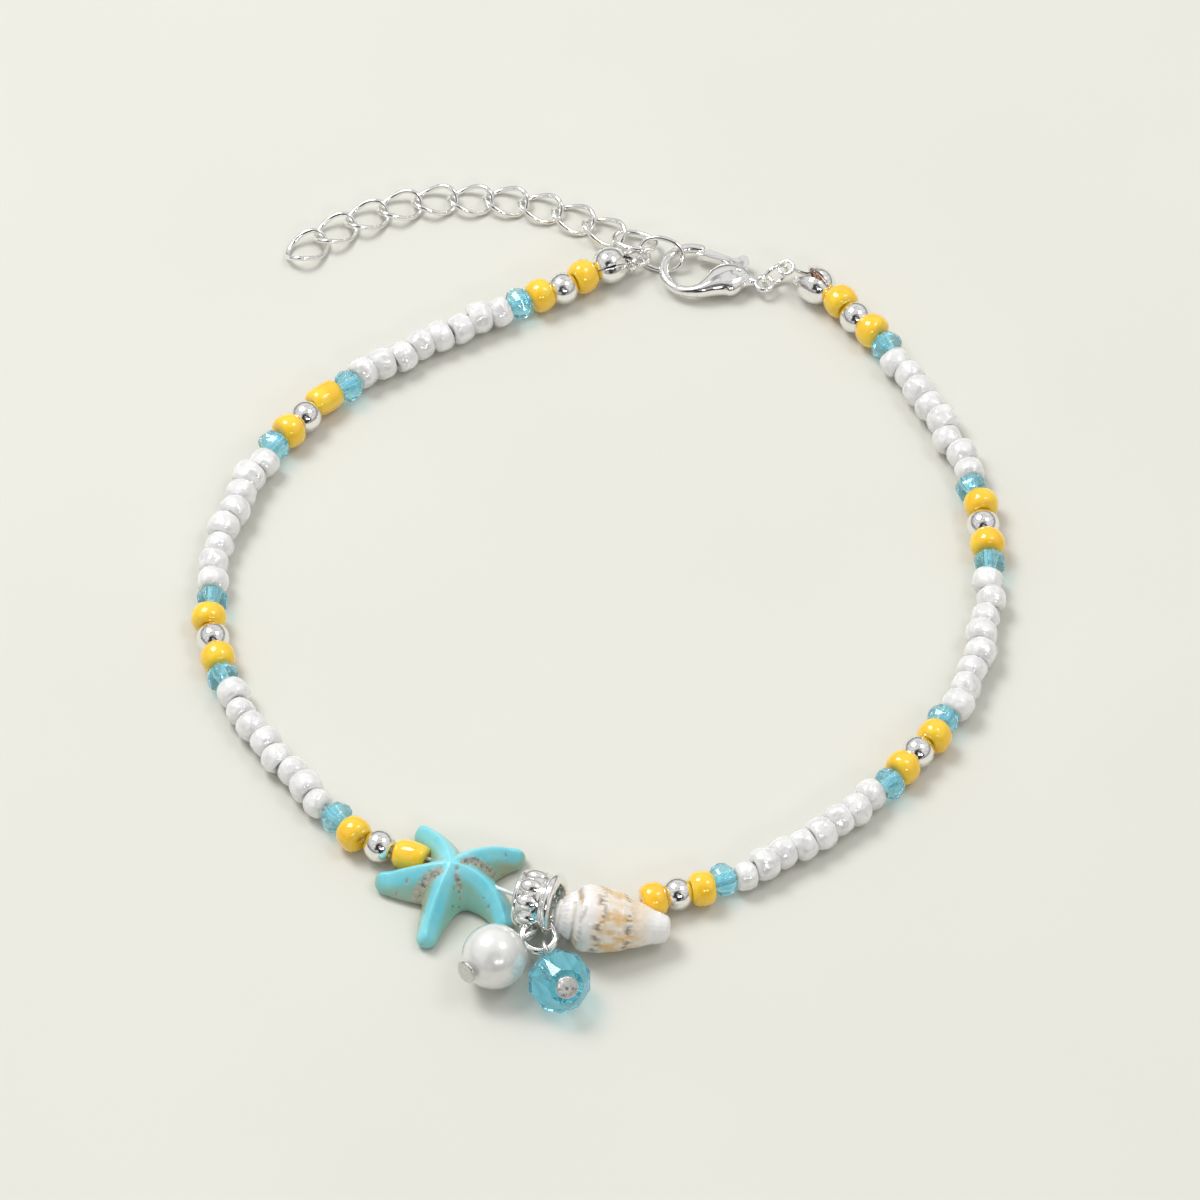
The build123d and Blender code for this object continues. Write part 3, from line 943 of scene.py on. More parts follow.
@dataclass(frozen=True)
class PearlyGlass(Recipe):
    """White glass with a pearly coat: cloudy, softly wavy, its highlights broken into streaks."""

    name: str = "white_glass"
    milk: Point = (0.93, 0.925, 0.915)
    rose: Point = (0.80, 0.785, 0.78)

    def lay(self, shader: Shader) -> None:
        """Lay the nodes.

        Args:
            shader: The material's nodes.
        """
        place = shader.coordinates()
        cloud = shader.noise(place, 620.0, 4.0, 0.62)
        waves = shader.noise(place, 760.0, 1.0, 0.5)
        shader.feed(
            Base_Color=shader.ramp(cloud, (0.36, self.rose), (0.6, self.milk)),
            Roughness=shader.fit(cloud, 0.35, 0.65, 0.03, 0.13),
            Metallic=0.16, IOR=1.75,
            Subsurface_Weight=0.4, Subsurface_Radius=(0.0014, 0.0013, 0.0013), Subsurface_Scale=1.0,
        )
        shader.bump(shader.maths("ADD", waves, shader.times(cloud, 0.4)), 0.00036, 1.0)


@dataclass(frozen=True)
class ClearGlass(Recipe):
    """Coloured clear glass that throws a light, tinted shadow."""

    tint: Point
    deep: Point
    clear: float
    roughness: float = 0.03
    ior: float = 1.5

    def lay(self, shader: Shader) -> None:
        """Lay the nodes.

        Args:
            shader: The material's nodes.
        """
        shader.feed(
            Base_Color=shader.ramp(shader.flaws(500.0)["Cloud"], (0.3, self.deep), (0.65, self.tint)),
            Transmission_Weight=self.clear, IOR=self.ior, Roughness=self.roughness, Coat_Weight=0.3,
        )
        veil = shader.node("ShaderNodeBsdfTransparent")
        shader.put(veil.inputs["Color"], tuple(0.5 + 0.36 * value for value in self.tint))
        path = shader.node("ShaderNodeLightPath").outputs
        mix = shader.node("ShaderNodeMixShader")
        shader.link(shader.larger(path["Is Shadow Ray"], path["Is Diffuse Ray"]), mix.inputs[0])
        shader.link(shader.main.outputs["BSDF"], mix.inputs[1])
        shader.link(veil.outputs["BSDF"], mix.inputs[2])
        shader.link(mix.outputs[0], shader.output.inputs["Surface"])


@dataclass(frozen=True)
class Plating(Recipe):
    """Bright plated metal with fine scratches and a little dulling."""

    colour: Point
    worn: Point
    roughness: float = 0.08
    scale: float = 700.0
    bump: float = 0.000005

    def lay(self, shader: Shader) -> None:
        """Lay the nodes.

        Args:
            shader: The material's nodes.
        """
        flaws = shader.flaws(self.scale)
        shader.feed(
            Base_Color=shader.blend(flaws["Mask"], self.colour, self.worn),
            Roughness=shader.fit(flaws["Cloud"], 0.35, 0.65, self.roughness * 0.6, self.roughness * 1.8),
            Metallic=1.0,
        )
        shader.bump(flaws["Cloud"], self.bump, 0.6)


@dataclass(frozen=True)
class TurquoiseStone(Recipe):
    """Dyed stone: its cyan on the ridges, painted shade that darkens the sides olive and blue-green, and
    grey-brown matrix in the creases.
    """

    name: str = "turquoise_stone"
    bright: Point = (0.17, 0.68, 0.80)
    pale: Point = (0.29, 0.76, 0.83)
    # The olive and blue-green of the sides are painted shade, not the stone's own colour.
    shaded_flank: Point = (0.38, 0.43, 0.28)
    shaded_teal: Point = (0.25, 0.53, 0.43)
    matrix: Point = (0.50, 0.47, 0.39)
    pit: Point = (0.20, 0.17, 0.13)

    def dye_and_shade(self, shader: Shader, place: Socket, uneven: Socket, cloud: Socket) -> Socket:
        """Colour from the stone's cyan on the ridges to painted shade down the sides.

        Args:
            shader: The material's nodes.
            place: Coordinates.
            uneven: How much painted shade a point gets down the sides, with ragged limits.
            cloud: Noise that mottles the ridges.

        Returns:
            The colour.
        """
        broad = shader.noise(place, 170.0, 2.0, 0.5)
        ridge = shader.blend(shader.fit(cloud, 0.35, 0.65), self.bright, self.pale)
        # Painted shade: olive and blue-green down the sides of the arms.
        low = shader.blend(shader.fit(broad, 0.4, 0.6), self.shaded_flank, self.shaded_teal)
        return shader.blend(shader.fit(uneven, 0.2, 0.95), ridge, low)

    def lay(self, shader: Shader) -> None:
        """Lay the nodes.

        Args:
            shader: The material's nodes.
        """
        place = shader.coordinates()
        crease, dimple = shader.attribute("crease"), shader.attribute("dimple")
        cloud = shader.noise(place, 300.0, 4.0, 0.6)
        grain = shader.noise(place, 2400.0, 4.0, 0.7)
        # Amount of painted shade down the sides, with its limits made ragged by noise.
        uneven = shader.maths("ADD", shader.attribute("shaded_flank"), shader.fit(cloud, 0.3, 0.7, -0.2, 0.2))
        cells = shader.node("ShaderNodeTexVoronoi")
        shader.put(cells.inputs["Scale"], 760.0)
        shader.put(cells.inputs["Vector"], place)
        spots = shader.fit(cells.outputs["Distance"], 0.13, 0.08)
        spots = shader.times(spots, shader.fit(uneven, 0.3, 0.8))
        belt = shader.times(shader.fit(crease, 0.12, 0.7), shader.fit(grain, 0.3, 0.5, 0.25, 1.0))
        rubble = shader.larger(belt, shader.times(dimple, 0.6))
        torn = shader.fit(grain, 0.44, 0.36)
        holes = shader.times(shader.fit(crease, 0.3, 0.8, 0.0, 0.8), torn)
        holes = shader.larger(holes, shader.times(spots, 0.7))
        holes = shader.larger(holes, shader.fit(dimple, 0.75, 1.0, 0.0, 0.35))
        colour = shader.blend(rubble, self.dye_and_shade(shader, place, uneven, cloud), self.matrix)
        shader.feed(
            Base_Color=shader.blend(holes, colour, self.pit),
            Roughness=shader.fit(rubble, 0.0, 1.0, 0.34, 0.8),
            Coat_Weight=shader.fit(rubble, 0.0, 1.0, 0.25, 0.0), Coat_Roughness=0.2,
        )
        raised = shader.times(grain, shader.fit(rubble, 0.0, 1.0, 0.12, 0.7))
        shader.bump(shader.maths("SUBTRACT", raised, holes), 0.00014, 0.85)


@dataclass(frozen=True)
class ShellFinish(Recipe):
    """Cream shell with rows of tan patches and grey-brown dashes round it."""

    name: str = "sea_shell"
    cream: Point = (0.86, 0.79, 0.70)
    milk: Point = (0.86, 0.85, 0.83)
    tan: Point = (0.77, 0.48, 0.16)
    dash: Point = (0.24, 0.18, 0.12)
    seam: Point = (0.42, 0.26, 0.13)
    patch_rows: tuple[Pair, ...] = (
        (0.17, 0.0), (0.2, 0.9), (0.24, 0.0), (0.3, 0.0),
        (0.42, 0.9), (0.62, 1.0), (0.72, 0.5), (0.82, 0.0),
    )
    dash_rows: tuple[Pair, ...] = (
        (0.02, 0.0), (0.07, 0.3), (0.12, 0.0), (0.17, 0.0), (0.2, 0.5), (0.24, 0.0),
        (0.32, 0.0), (0.38, 1.0), (0.46, 0.0), (0.55, 0.0), (0.61, 1.0), (0.69, 0.0),
    )

    def marks(self, shader: Shader, stretch: Pair, scale: float, detail: float, rough: float) -> Socket:
        """Noise laid out by the place along the shell and the turn round it.

        Args:
            shader: The material's nodes.
            stretch: Factors of the place and the turn.
            scale: Scale of the noise.
            detail: How many finer layers it has.
            rough: How strong they are.

        Returns:
            The value.
        """
        laid = shader.node("ShaderNodeCombineXYZ")
        for socket, name, factor in zip(laid.inputs, ("along", "turn"), stretch):
            shader.link(shader.times(shader.attribute(name), factor), socket)
        return shader.noise(laid.outputs[0], scale, detail, rough)

    def lay(self, shader: Shader) -> None:
        """Lay the nodes.

        Args:
            shader: The material's nodes.
        """
        along = shader.attribute("along")
        place = shader.coordinates()
        cloud = shader.noise(place, 330.0, 4.0, 0.6)
        fine = shader.noise(place, 1500.0, 3.0, 0.6)
        patches = shader.fit(self.marks(shader, (7.0, 9.0), 1.0, 3.0, 0.55), 0.42, 0.62, 0.0, 0.95)
        dashes = shader.fit(self.marks(shader, (13.0, 22.0), 0.8, 2.0, 0.4), 0.45, 0.57, 0.0, 0.92)
        ragged = shader.maths("ADD", along, shader.fit(cloud, 0.3, 0.7, -0.05, 0.05))
        groove = shader.times(shader.attribute("suture"), shader.fit(cloud, 0.35, 0.6, 0.35, 0.95))
        colour = shader.blend(shader.fit(along, 0.2, 0.42), self.milk, self.cream)
        for amount, over in (
            (shader.times(patches, shader.ramp(along, *self.patch_rows)), self.tan),
            (shader.times(dashes, shader.ramp(ragged, *self.dash_rows)), self.dash),
            (shader.fit(along, 0.74, 0.84, 0.0, 0.9), self.milk),
            (groove, self.seam),
        ):
            colour = shader.blend(amount, colour, over)
        shader.feed(
            Base_Color=colour, Roughness=shader.fit(fine, 0.3, 0.7, 0.22, 0.42),
            Coat_Weight=0.45, Coat_Roughness=0.12,
            Subsurface_Weight=0.08, Subsurface_Radius=(0.001, 0.0008, 0.0006),
        )
        shader.bump(shader.maths("ADD", cloud, shader.times(fine, 0.3)), 0.00008, 0.6)


@dataclass(frozen=True)
class PearlLustre(Recipe):
    """Warm white pearl coat, softly metallic under a clear skin."""

    name: str = "glass_pearl"
    light: Point = (0.87, 0.865, 0.84)
    grey: Point = (0.74, 0.74, 0.71)

    def lay(self, shader: Shader) -> None:
        """Lay the nodes.

        Args:
            shader: The material's nodes.
        """
        place = shader.coordinates()
        cloud = shader.noise(place, 260.0, 3.0, 0.5)
        shader.feed(
            Base_Color=shader.blend(shader.fit(cloud, 0.35, 0.65, 0.0, 0.6), self.light, self.grey),
            Roughness=shader.fit(cloud, 0.3, 0.7, 0.2, 0.3),
            Metallic=0.25, Coat_Weight=0.8, Coat_Roughness=0.04,
        )
        shader.bump(shader.noise(place, 900.0), 0.00002, 0.5)


class Finish(Enum):
    """Every finish of the anklet, by the record's slot."""

    WHITE = PearlyGlass()
    YELLOW = OpaqueGlass("yellow_glass", (1.0, 0.56, 0.015), (1.0, 0.66, 0.032), 0.12, 0.16)
    AQUA = ClearGlass("aqua_glass", (0.50, 0.90, 1.0), (0.32, 0.80, 1.0), 0.84)
    CRYSTAL = ClearGlass("aqua_crystal", (0.34, 0.87, 1.0), (0.22, 0.80, 1.0), 0.86, 0.0, 1.55)
    PIN = Plating("silver_metal", (0.66, 0.65, 0.63), (0.36, 0.35, 0.33), 0.28, 2600.0, 0.00003)
    SILVER = Plating("silver_metal", (0.92, 0.91, 0.89), (0.74, 0.72, 0.68))
    COPPER = Plating("copper_metal", (0.74, 0.44, 0.30), (0.52, 0.28, 0.16), 0.16)
    STONE = TurquoiseStone()
    SHELL = ShellFinish()
    PEARL = PearlLustre()
    NYLON = OpaqueGlass("nylon_thread", (0.72, 0.74, 0.74), (0.86, 0.87, 0.87), 0.3, 0.3, 900.0)


class Paint:
    """Hands out each finish's material, built once, and hands over the dressed pieces."""

    def __init__(self) -> None:
        """Start with no material built."""
        self.built: dict[Finish, bpy.types.Material] = {}

    def coat(self, piece: Piece, finish: Finish) -> None:
        """Give a piece one finish all over.

        Args:
            piece: Object to dress.
            finish: Its finish.
        """
        if finish not in self.built:
            self.built[finish] = finish.value.material()
        piece.data.materials.clear()
        piece.data.materials.append(self.built[finish])

    def hand_over(self, piece: Piece, finish: Finish, node: str, body: str = ANKLET) -> None:
        """Dress a finished piece, seat it on its body and let it stand for its node.

        Args:
            piece: The finished object.
            finish: Its finish.
            node: Node that it stands for.
            body: Body that it rides on.
        """
        self.coat(piece, finish)
        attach(piece, body)
        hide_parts(node)
        log.info("%s: %d faces", piece.name, len(piece.data.polygons))


@dataclass
class Assembly:
    """A part of the anklet that is built and handed over in one go."""

    paint: Paint

    def build(self) -> None:
        """Build it, which each assembly does in its own way."""
        raise NotImplementedError


# ---- beads -------------------------------------------------------------------------------
@dataclass
class BeadSpot:
    """Place of one bead on the string, numbered from the front."""

    node: str
    kind: str
    centre: Vector
    along: Vector
    number: int


@dataclass(frozen=True)
class BeadShape:
    """Sizes of one kind of bead, in millimetres."""

    diameter: float
    length: float
    bore: float
    fullness: float
    steps: int
    lump: float = 0.0


@dataclass
class StringOfBeads(Assembly):
    """All seed beads, balls and faceted beads of one side of the string."""

    side: str
    swell: float = 0.16
    tilt: float = 10.0
    small_tilt: float = 1.5
    stray: float = 0.2
    growth: Pair = (0.94, 1.06)
    # Rate and share of each layer of lumps, and of the unevenness of the ends.
    lumps: tuple[Pair, ...] = ((0.55, 1.6), (1.5, 0.8))
    unevenness: Pair = (0.6, 0.04)
    snug: float = 1.4
    snug_beads: int = 4
    thin_below: float = 3.2
    white: tuple[BeadShape, ...] = (
        BeadShape(3.15, 2.1, 0.35, 2.15, 32, 0.08),
        BeadShape(3.0, 2.0, 0.35, 2.1, 32, 0.08),
        BeadShape(3.2, 2.15, 0.35, 2.2, 32, 0.08),
    )
    yellow: BeadShape = BeadShape(3.45, 2.2, 0.22, 2.25, 28, 0.05)
    long_yellow: BeadShape = BeadShape(3.0, 3.15, 0.22, 2.8, 28, 0.06)
    silver: BeadShape = BeadShape(3.25, 2.45, 0.45, 2.0, 40)
    aqua: BeadShape = BeadShape(3.3, 2.05, 0.5, 2.4, 8)

    def turn_from_front(self, centre: Vector) -> float:
        """Angle from the front round this side."""
        way = 1.0 if self.side == "right" else -1.0
        return (way * (math.atan2(centre.y, centre.x) + math.pi / 2)) % math.tau

    def spots(self) -> list[BeadSpot]:
        """Every bead of this side from the front to the back, with the string's direction there.

        Returns:
            The beads in order.
        """
        whites = f"white_beads_{self.side}"
        found = [(centre, whites, "white") for centre in loose_centres(whites)]
        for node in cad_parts:
            if node.startswith(f"bead_{self.side}_"):
                found.append((middle_of(node), node, node.split("_")[-1]))
        found.sort(key=lambda entry: self.turn_from_front(entry[0]))
        spots = []
        for number, (centre, node, kind) in enumerate(found, 1):
            along = found[min(number, len(found) - 1)][0] - found[max(number - 2, 0)][0]
            along.z = 0.0
            spots.append(BeadSpot(node, kind, centre, along.normalized(), number))
        return spots

    def halves(self, shape: BeadShape) -> Point:
        """Radius, half length and bore of a bead."""
        return shape.diameter / 2, (shape.length + self.swell) / 2, shape.bore

    def section(self, shape: BeadShape) -> list[Pair]:
        """Closed rounded section of a bored bead, as radius and height pairs.

        Args:
            shape: Sizes of the bead.

        Returns:
            The outline, closed.
        """
        radius, half, bore = self.halves(shape)
        middle, wall = (radius + bore) / 2, (radius - bore) / 2
        outline = []
        for turn in full_turn(16):
            across = math.cos(turn)
            power = 2.0 / (shape.fullness if across > 0.0 else 5.0)
            outline.append((middle + wall * swollen(across, power), half * swollen(math.sin(turn), power)))
        return outline

    def seed(self, name: str, shape: BeadShape, seed: int) -> Piece:
        """Seed bead with a slightly uneven skin.

        Args:
            name: Name of the bead.
            shape: Its sizes.
            seed: Number that picks its unevenness.

        Returns:
            The bead about Z.
        """
        bead = lathe(name, self.section(shape), shape.steps)
        shift = Vector((seed * 3.7, seed * 1.9, seed * 5.3))
        rate, depth = self.unevenness
        for vertex in bead.data.vertices:
            spot = vertex.co / MM
            outwards = Vector((spot.x, spot.y, 0.0))
            swell = sum(noise.noise(spot * rate + shift) * shape.lump * share for rate, share in self.lumps)
            vertex.co += outwards.normalized() * swell * MM
            vertex.co.z *= 1.0 + depth * noise.noise(outwards * rate + shift)
        return bead

    def ball(self, name: str) -> Piece:
        """Metal ball with flat ends and a rolled bore edge.

        Args:
            name: Name of the ball.

        Returns:
            The ball about Z.
        """
        radius, half, bore = self.halves(self.silver)
        edge = math.degrees(math.asin(half / radius))
        outside = arc((0.0, 0.0), radius, -edge, edge, 14)
        lip = math.sqrt(radius**2 - half**2)
        rolled = [(lip - 0.12, half + 0.015), (bore + 0.06, half - 0.03), (bore, half - 0.16)]
        return lathe(name, outside + rolled + below(rolled), self.silver.steps)

    def faceted(self, name: str) -> Piece:
        """Clear bead with flats along its length and bevelled ends.

        Args:
            name: Name of the bead.

        Returns:
            The bead about Z.
        """
        radius, half, bore = self.halves(self.aqua)
        slope = [(radius - 0.16, half * 0.6), (radius - 0.7, half)]
        upper = slope + [(bore + 0.12, half), (bore, half - 0.12)]
        bead = lathe(name, below(upper) + [(radius, 0.0)] + upper, self.aqua.steps)
        apply_modifier(bead, "BEVEL", width=0.035 * MM, segments=2, limit_method="ANGLE", angle_limit=0.3)
        smooth(bead, 12.0)
        return bead

    def patterns(self) -> dict[str, list[Piece]]:
        """The beads that all others are copied from, by kind.

        Returns:
            The patterns by kind.
        """
        whites = [self.seed(f"white_{number}", self.white[number % 3], number) for number in range(6)]
        yellows = [self.seed(f"yellow_{number}", self.yellow, 20 + number) for number in range(3)]
        long_one = self.seed("yellow_long", self.long_yellow, 31)
        return {
            "white": whites, "yellow": yellows, "long": [long_one],
            "silver": [self.ball("ball")], "aqua": [self.faceted("faceted")],
        }

    def pattern(self, patterns: dict[str, list[Piece]], spot: BeadSpot, whites: int) -> Piece:
        """Pick the pattern of a bead.

        Args:
            patterns: Patterns by kind.
            spot: Place of the bead.
            whites: How many white beads stand before it.

        Returns:
            The pattern.
        """
        if spot.kind == "white":
            return patterns["white"][(spot.number - 1) % 3 + 3 * (whites % 2)]
        if spot.kind == "yellow":
            low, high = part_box(spot.node)
            thin = (high.z - low.z) < self.thin_below * MM
            return patterns["long"][0] if thin else patterns["yellow"][spot.number % 3]
        return patterns[spot.kind][0]

    def strung(self, bead: Piece, spot: BeadSpot, chance: random.Random) -> Piece:
        """Put a bead on the string, a little out of true, and let it rest on the floor.

        Args:
            bead: The bead about Z.
            spot: Its place.
            chance: Source of its unevenness.

        Returns:
            The bead in place.
        """
        tilt = self.tilt if spot.kind in ("white", "yellow") else self.small_tilt
        lean = turned(chance.uniform(-tilt, tilt), "X")
        sway = turned(chance.uniform(-tilt, tilt), "Y")
        roll = Matrix.Rotation(chance.uniform(0.0, math.tau), 4, "Z")
        beside = Vector((-spot.along.y, spot.along.x, 0.0)) * chance.uniform(-self.stray, self.stray) * MM
        grow = Matrix.Scale(chance.uniform(*self.growth), 4)
        if spot.kind != "white":
            steps = max(0, self.snug_beads + 1 - spot.number) if self.side == "left" else 0
            beside = spot.along * -(self.snug * steps / self.snug_beads) * MM
            grow = Matrix.Identity(4)
        settle(bead, facing(spot.centre + beside, spot.along) @ lean @ sway @ roll @ grow)
        return keep_inside(rested(bead))

    def build(self) -> None:
        """Make this side's beads and hand them over."""
        chance = random.Random(7 if self.side == "left" else 11)
        patterns = self.patterns()
        finishes = {"yellow": Finish.YELLOW, "silver": Finish.SILVER, "aqua": Finish.AQUA}
        whites = []
        for spot in self.spots():
            name = f"{spot.kind}_bead_{self.side}_{spot.number:02d}"
            bead = copy_of(self.pattern(patterns, spot, len(whites)), name)
            self.strung(bead, spot, chance)
            if spot.kind == "white":
                whites.append(bead)
            else:
                self.paint.hand_over(bead, finishes[spot.kind], spot.node)
        row = joined(whites, f"pearly_beads_{self.side}")
        self.paint.hand_over(row, Finish.WHITE, f"white_beads_{self.side}")
        for beads in patterns.values():
            discard(*beads)


# ---- starfish ----------------------------------------------------------------------------
@dataclass
class Arm:
    """One arm: where it bends and ends from the hub, and its half widths there."""

    knee: Pair
    tip: Pair
    knee_width: float
    tip_width: float
    root_width: float = 3.1

    def centre(self, part: float) -> Vector:
        """Place on the arm's middle line, 0 at the hub and 1 at the tip.

        Args:
            part: Place along the arm.

        Returns:
            The place, from the hub, in millimetres.
        """
        knee, tip = Vector(self.knee), Vector(self.tip)
        control = knee * 2.0 - tip * 0.5
        return control * (2.0 * part * (1.0 - part)) + tip * part**2

    def direction(self, part: float) -> Vector:
        """Direction of the middle line."""
        return (self.centre(part + 0.01) - self.centre(part - 0.01)).normalized()

    def half_width(self, part: float) -> float:
        """Half width of the arm.

        Args:
            part: Place along the arm.

        Returns:
            The half width in millimetres.
        """
        if part < 0.5:
            return self.root_width + (self.knee_width - self.root_width) * ease(part, 0.0, 0.5)
        return self.knee_width + (self.tip_width - self.knee_width) * (part - 0.5) * 2.0


@dataclass
class Crease:
    """Fold between two arms: its depth, its width, how far it is shifted, and where it ends."""

    depth: float
    width: float
    shift: float
    end: float
    bends: Pair = (1.0, 2.6)
    opens: Pair = (0.6, 1.3)
    fade: float = 1.1

    def at(self, away: float, lean: float) -> float:
        """Depth at a distance from the hub and a lean towards the later arm.

        Args:
            away: Distance from the hub.
            lean: Distance towards the later arm.

        Returns:
            The depth, from 0 to 1.
        """
        lean -= self.shift * ease(away, *self.bends)
        ends = ease(away, *self.opens) * (1.0 - ease(away, self.end - self.fade, self.end))
        return self.depth * ends * math.exp(-((lean / self.width) ** 2))


@dataclass
class Starfish(Assembly):
    """Turquoise starfish with ridged, bent arms, webs between them and worn pits."""

    hub_from_low: Pair = (7.4, 7.35)
    height: float = 4.7
    tip_height: float = 2.3
    edge: float = 0.85
    sound_below: float = 0.6
    # Distances from an arm's middle line over which painted shade darkens its sides.
    shaded_flank: Pair = (0.45, 1.35)
    crown: Pair = (0.5, 1.6)
    # Rate and depth of each layer of grain in the creases.
    grain: tuple[Pair, ...] = ((2.6, 0.16), (6.0, 0.12))
    fold_depth: float = 0.16
    hole_depth: float = 0.13
    voxel: float = 0.09
    smoothing: int = 14
    arm_steps: int = 14
    end_steps: int = 7
    arms: tuple[Arm, ...] = (
        Arm((-0.85, 3.2), (-2.45, 5.65), 1.75, 1.15, 3.4),
        Arm((3.1, 2.2), (5.85, 3.1), 2.0, 1.25),
        Arm((3.25, -1.45), (5.05, -4.45), 1.95, 1.1),
        Arm((-1.35, -3.2), (-2.3, -6.2), 1.6, 1.0),
        Arm((-3.3, 0.05), (-6.05, 0.35), 2.0, 1.3),
    )
    creases: tuple[Crease, ...] = (
        Crease(0.5, 0.4, 0.0, 4.2), Crease(1.0, 0.62, 0.75, 4.9), Crease(0.85, 0.42, 0.0, 2.7),
        Crease(1.0, 0.68, 0.8, 4.6), Crease(0.6, 0.4, 0.0, 4.2),
    )
    # Place from the hub and size of each pit.
    dimples: tuple[Point, ...] = (
        (-4.2, -0.7, 0.2), (-5.2, -1.2, 0.16), (3.6, -3.3, 0.2), (5.2, 2.5, 0.16), (-2.5, -4.0, 0.16),
        (0.6, -0.5, 0.26), (0.55, -1.25, 0.26), (0.95, -1.7, 0.2), (0.85, -2.35, 0.18), (0.3, -2.0, 0.16),
    )

    def hub(self) -> Vector:
        """Middle of the starfish on the floor, in millimetres."""
        low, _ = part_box("starfish")
        return Vector((low.x / MM + self.hub_from_low[0], low.y / MM + self.hub_from_low[1], 0.0))

    def section(self, arm: Arm, part: float, shrink: float) -> list[Vector]:
        """Ridged section across an arm.

        Args:
            arm: The arm.
            part: Place along it, past 1 for the rounded end.
            shrink: Factor of its size, to round the end.

        Returns:
            Points in metres.
        """
        ahead = arm.direction(min(part, 0.99))
        middle = self.hub().xy + (arm.centre(min(part, 1.0)) + ahead * max(0.0, part - 1.0))
        side = Vector((-ahead.y, ahead.x))
        width = arm.half_width(min(part, 1.0)) * shrink
        top = self.height + (self.tip_height - self.height) * min(part, 1.0) ** 1.5
        top = self.edge + (top - self.edge) * shrink
        points = []
        for turn in full_turn(36):
            across, up = math.cos(turn), math.sin(turn)
            if up >= 0.0:
                rise = self.edge + (top - self.edge) * (1.0 - abs(across) ** 1.3) ** 0.95
            else:
                rise = self.edge * (1.0 - shrink * abs(up) ** 0.45)
            spot = middle + side * across * width
            points.append(mm(spot.x, spot.y, rise))
        return points

    def arm_body(self, index: int, arm: Arm) -> Piece:
        """Loft one arm from the hub to its rounded end.

        Args:
            index: Number of the arm.
            arm: The arm.

        Returns:
            The arm.
        """
        parts = [(step / self.arm_steps, 1.0) for step in range(self.arm_steps + 1)]
        for step in range(1, self.end_steps + 1):
            turn = math.pi / 2 * step / (self.end_steps + 0.2)
            parts.append((1.0 + arm.tip_width * math.sin(turn), math.cos(turn) ** 0.9))
        return loft(f"arm_{index}", [self.section(arm, part, shrink) for part, shrink in parts])

    def marks_at(self, spot: Vector, lines: Sequence[Sequence[Vector]]) -> Point:
        """How much painted shade darkens a place, how deep in a crease it is and how near a dimple.

        Args:
            spot: Place from the hub, seen from above, in millimetres.
            lines: Middle line of each arm.

        Returns:
            The three values, each from 0 to 1.
        """
        gaps = [min((spot - place).length for place in line) for line in lines]
        one, other = sorted(range(len(lines)), key=gaps.__getitem__)[:2]
        first, second = gaps[one], gaps[other]
        low, high = min(one, other), max(one, other)
        away = spot.length
        # Painted shade: grows away from the arm's middle line and away from the hub.
        down = ease(first, *self.shaded_flank) * ease(away, *self.crown)
        fold = 0.0
        if high - low in (1, 4):
            crease = self.creases[low if high - low == 1 else 4]
            later = low if (low, high) == (1, 2) else high
            fold = crease.at(away, (second - first) if later == one else (first - second))
        hole = 0.0
        for across, up, size in self.dimples:
            distance = (spot - Vector((across, up))).length / size
            hole = max(hole, math.exp(-(distance**4)))
        return down, fold, hole

    def mark(self, star: Piece) -> None:
        """Store the marks of each point and press them into the skin.

        Args:
            star: The joined starfish.
        """
        hub = self.hub()
        lines = [[arm.centre(step / 24) for step in range(25)] for arm in self.arms]
        rows = []
        for vertex in star.data.vertices:
            spot = vertex.co / MM
            rows.append(self.marks_at(Vector((spot.x - hub.x, spot.y - hub.y)), lines))
            _, fold, hole = rows[-1]
            rough = sum(noise.noise(spot * rate) * share for rate, share in self.grain)
            if spot.z > self.sound_below:
                vertex.co.z += (rough * fold - self.fold_depth * fold - self.hole_depth * hole) * MM
        # The first stored value is the amount of painted shade.
        store(star, ("shaded_flank", "crease", "dimple"), rows)

    def build(self) -> None:
        """Make the starfish."""
        star = joined([self.arm_body(index, arm) for index, arm in enumerate(self.arms)], "stone_starfish")
        apply_modifier(star, "REMESH", mode="VOXEL", voxel_size=self.voxel * MM)
        apply_modifier(star, "SMOOTH", factor=0.5, iterations=self.smoothing)
        self.mark(star)
        rested(star)
        smooth(star)
        self.paint.hand_over(star, Finish.STONE, "starfish")


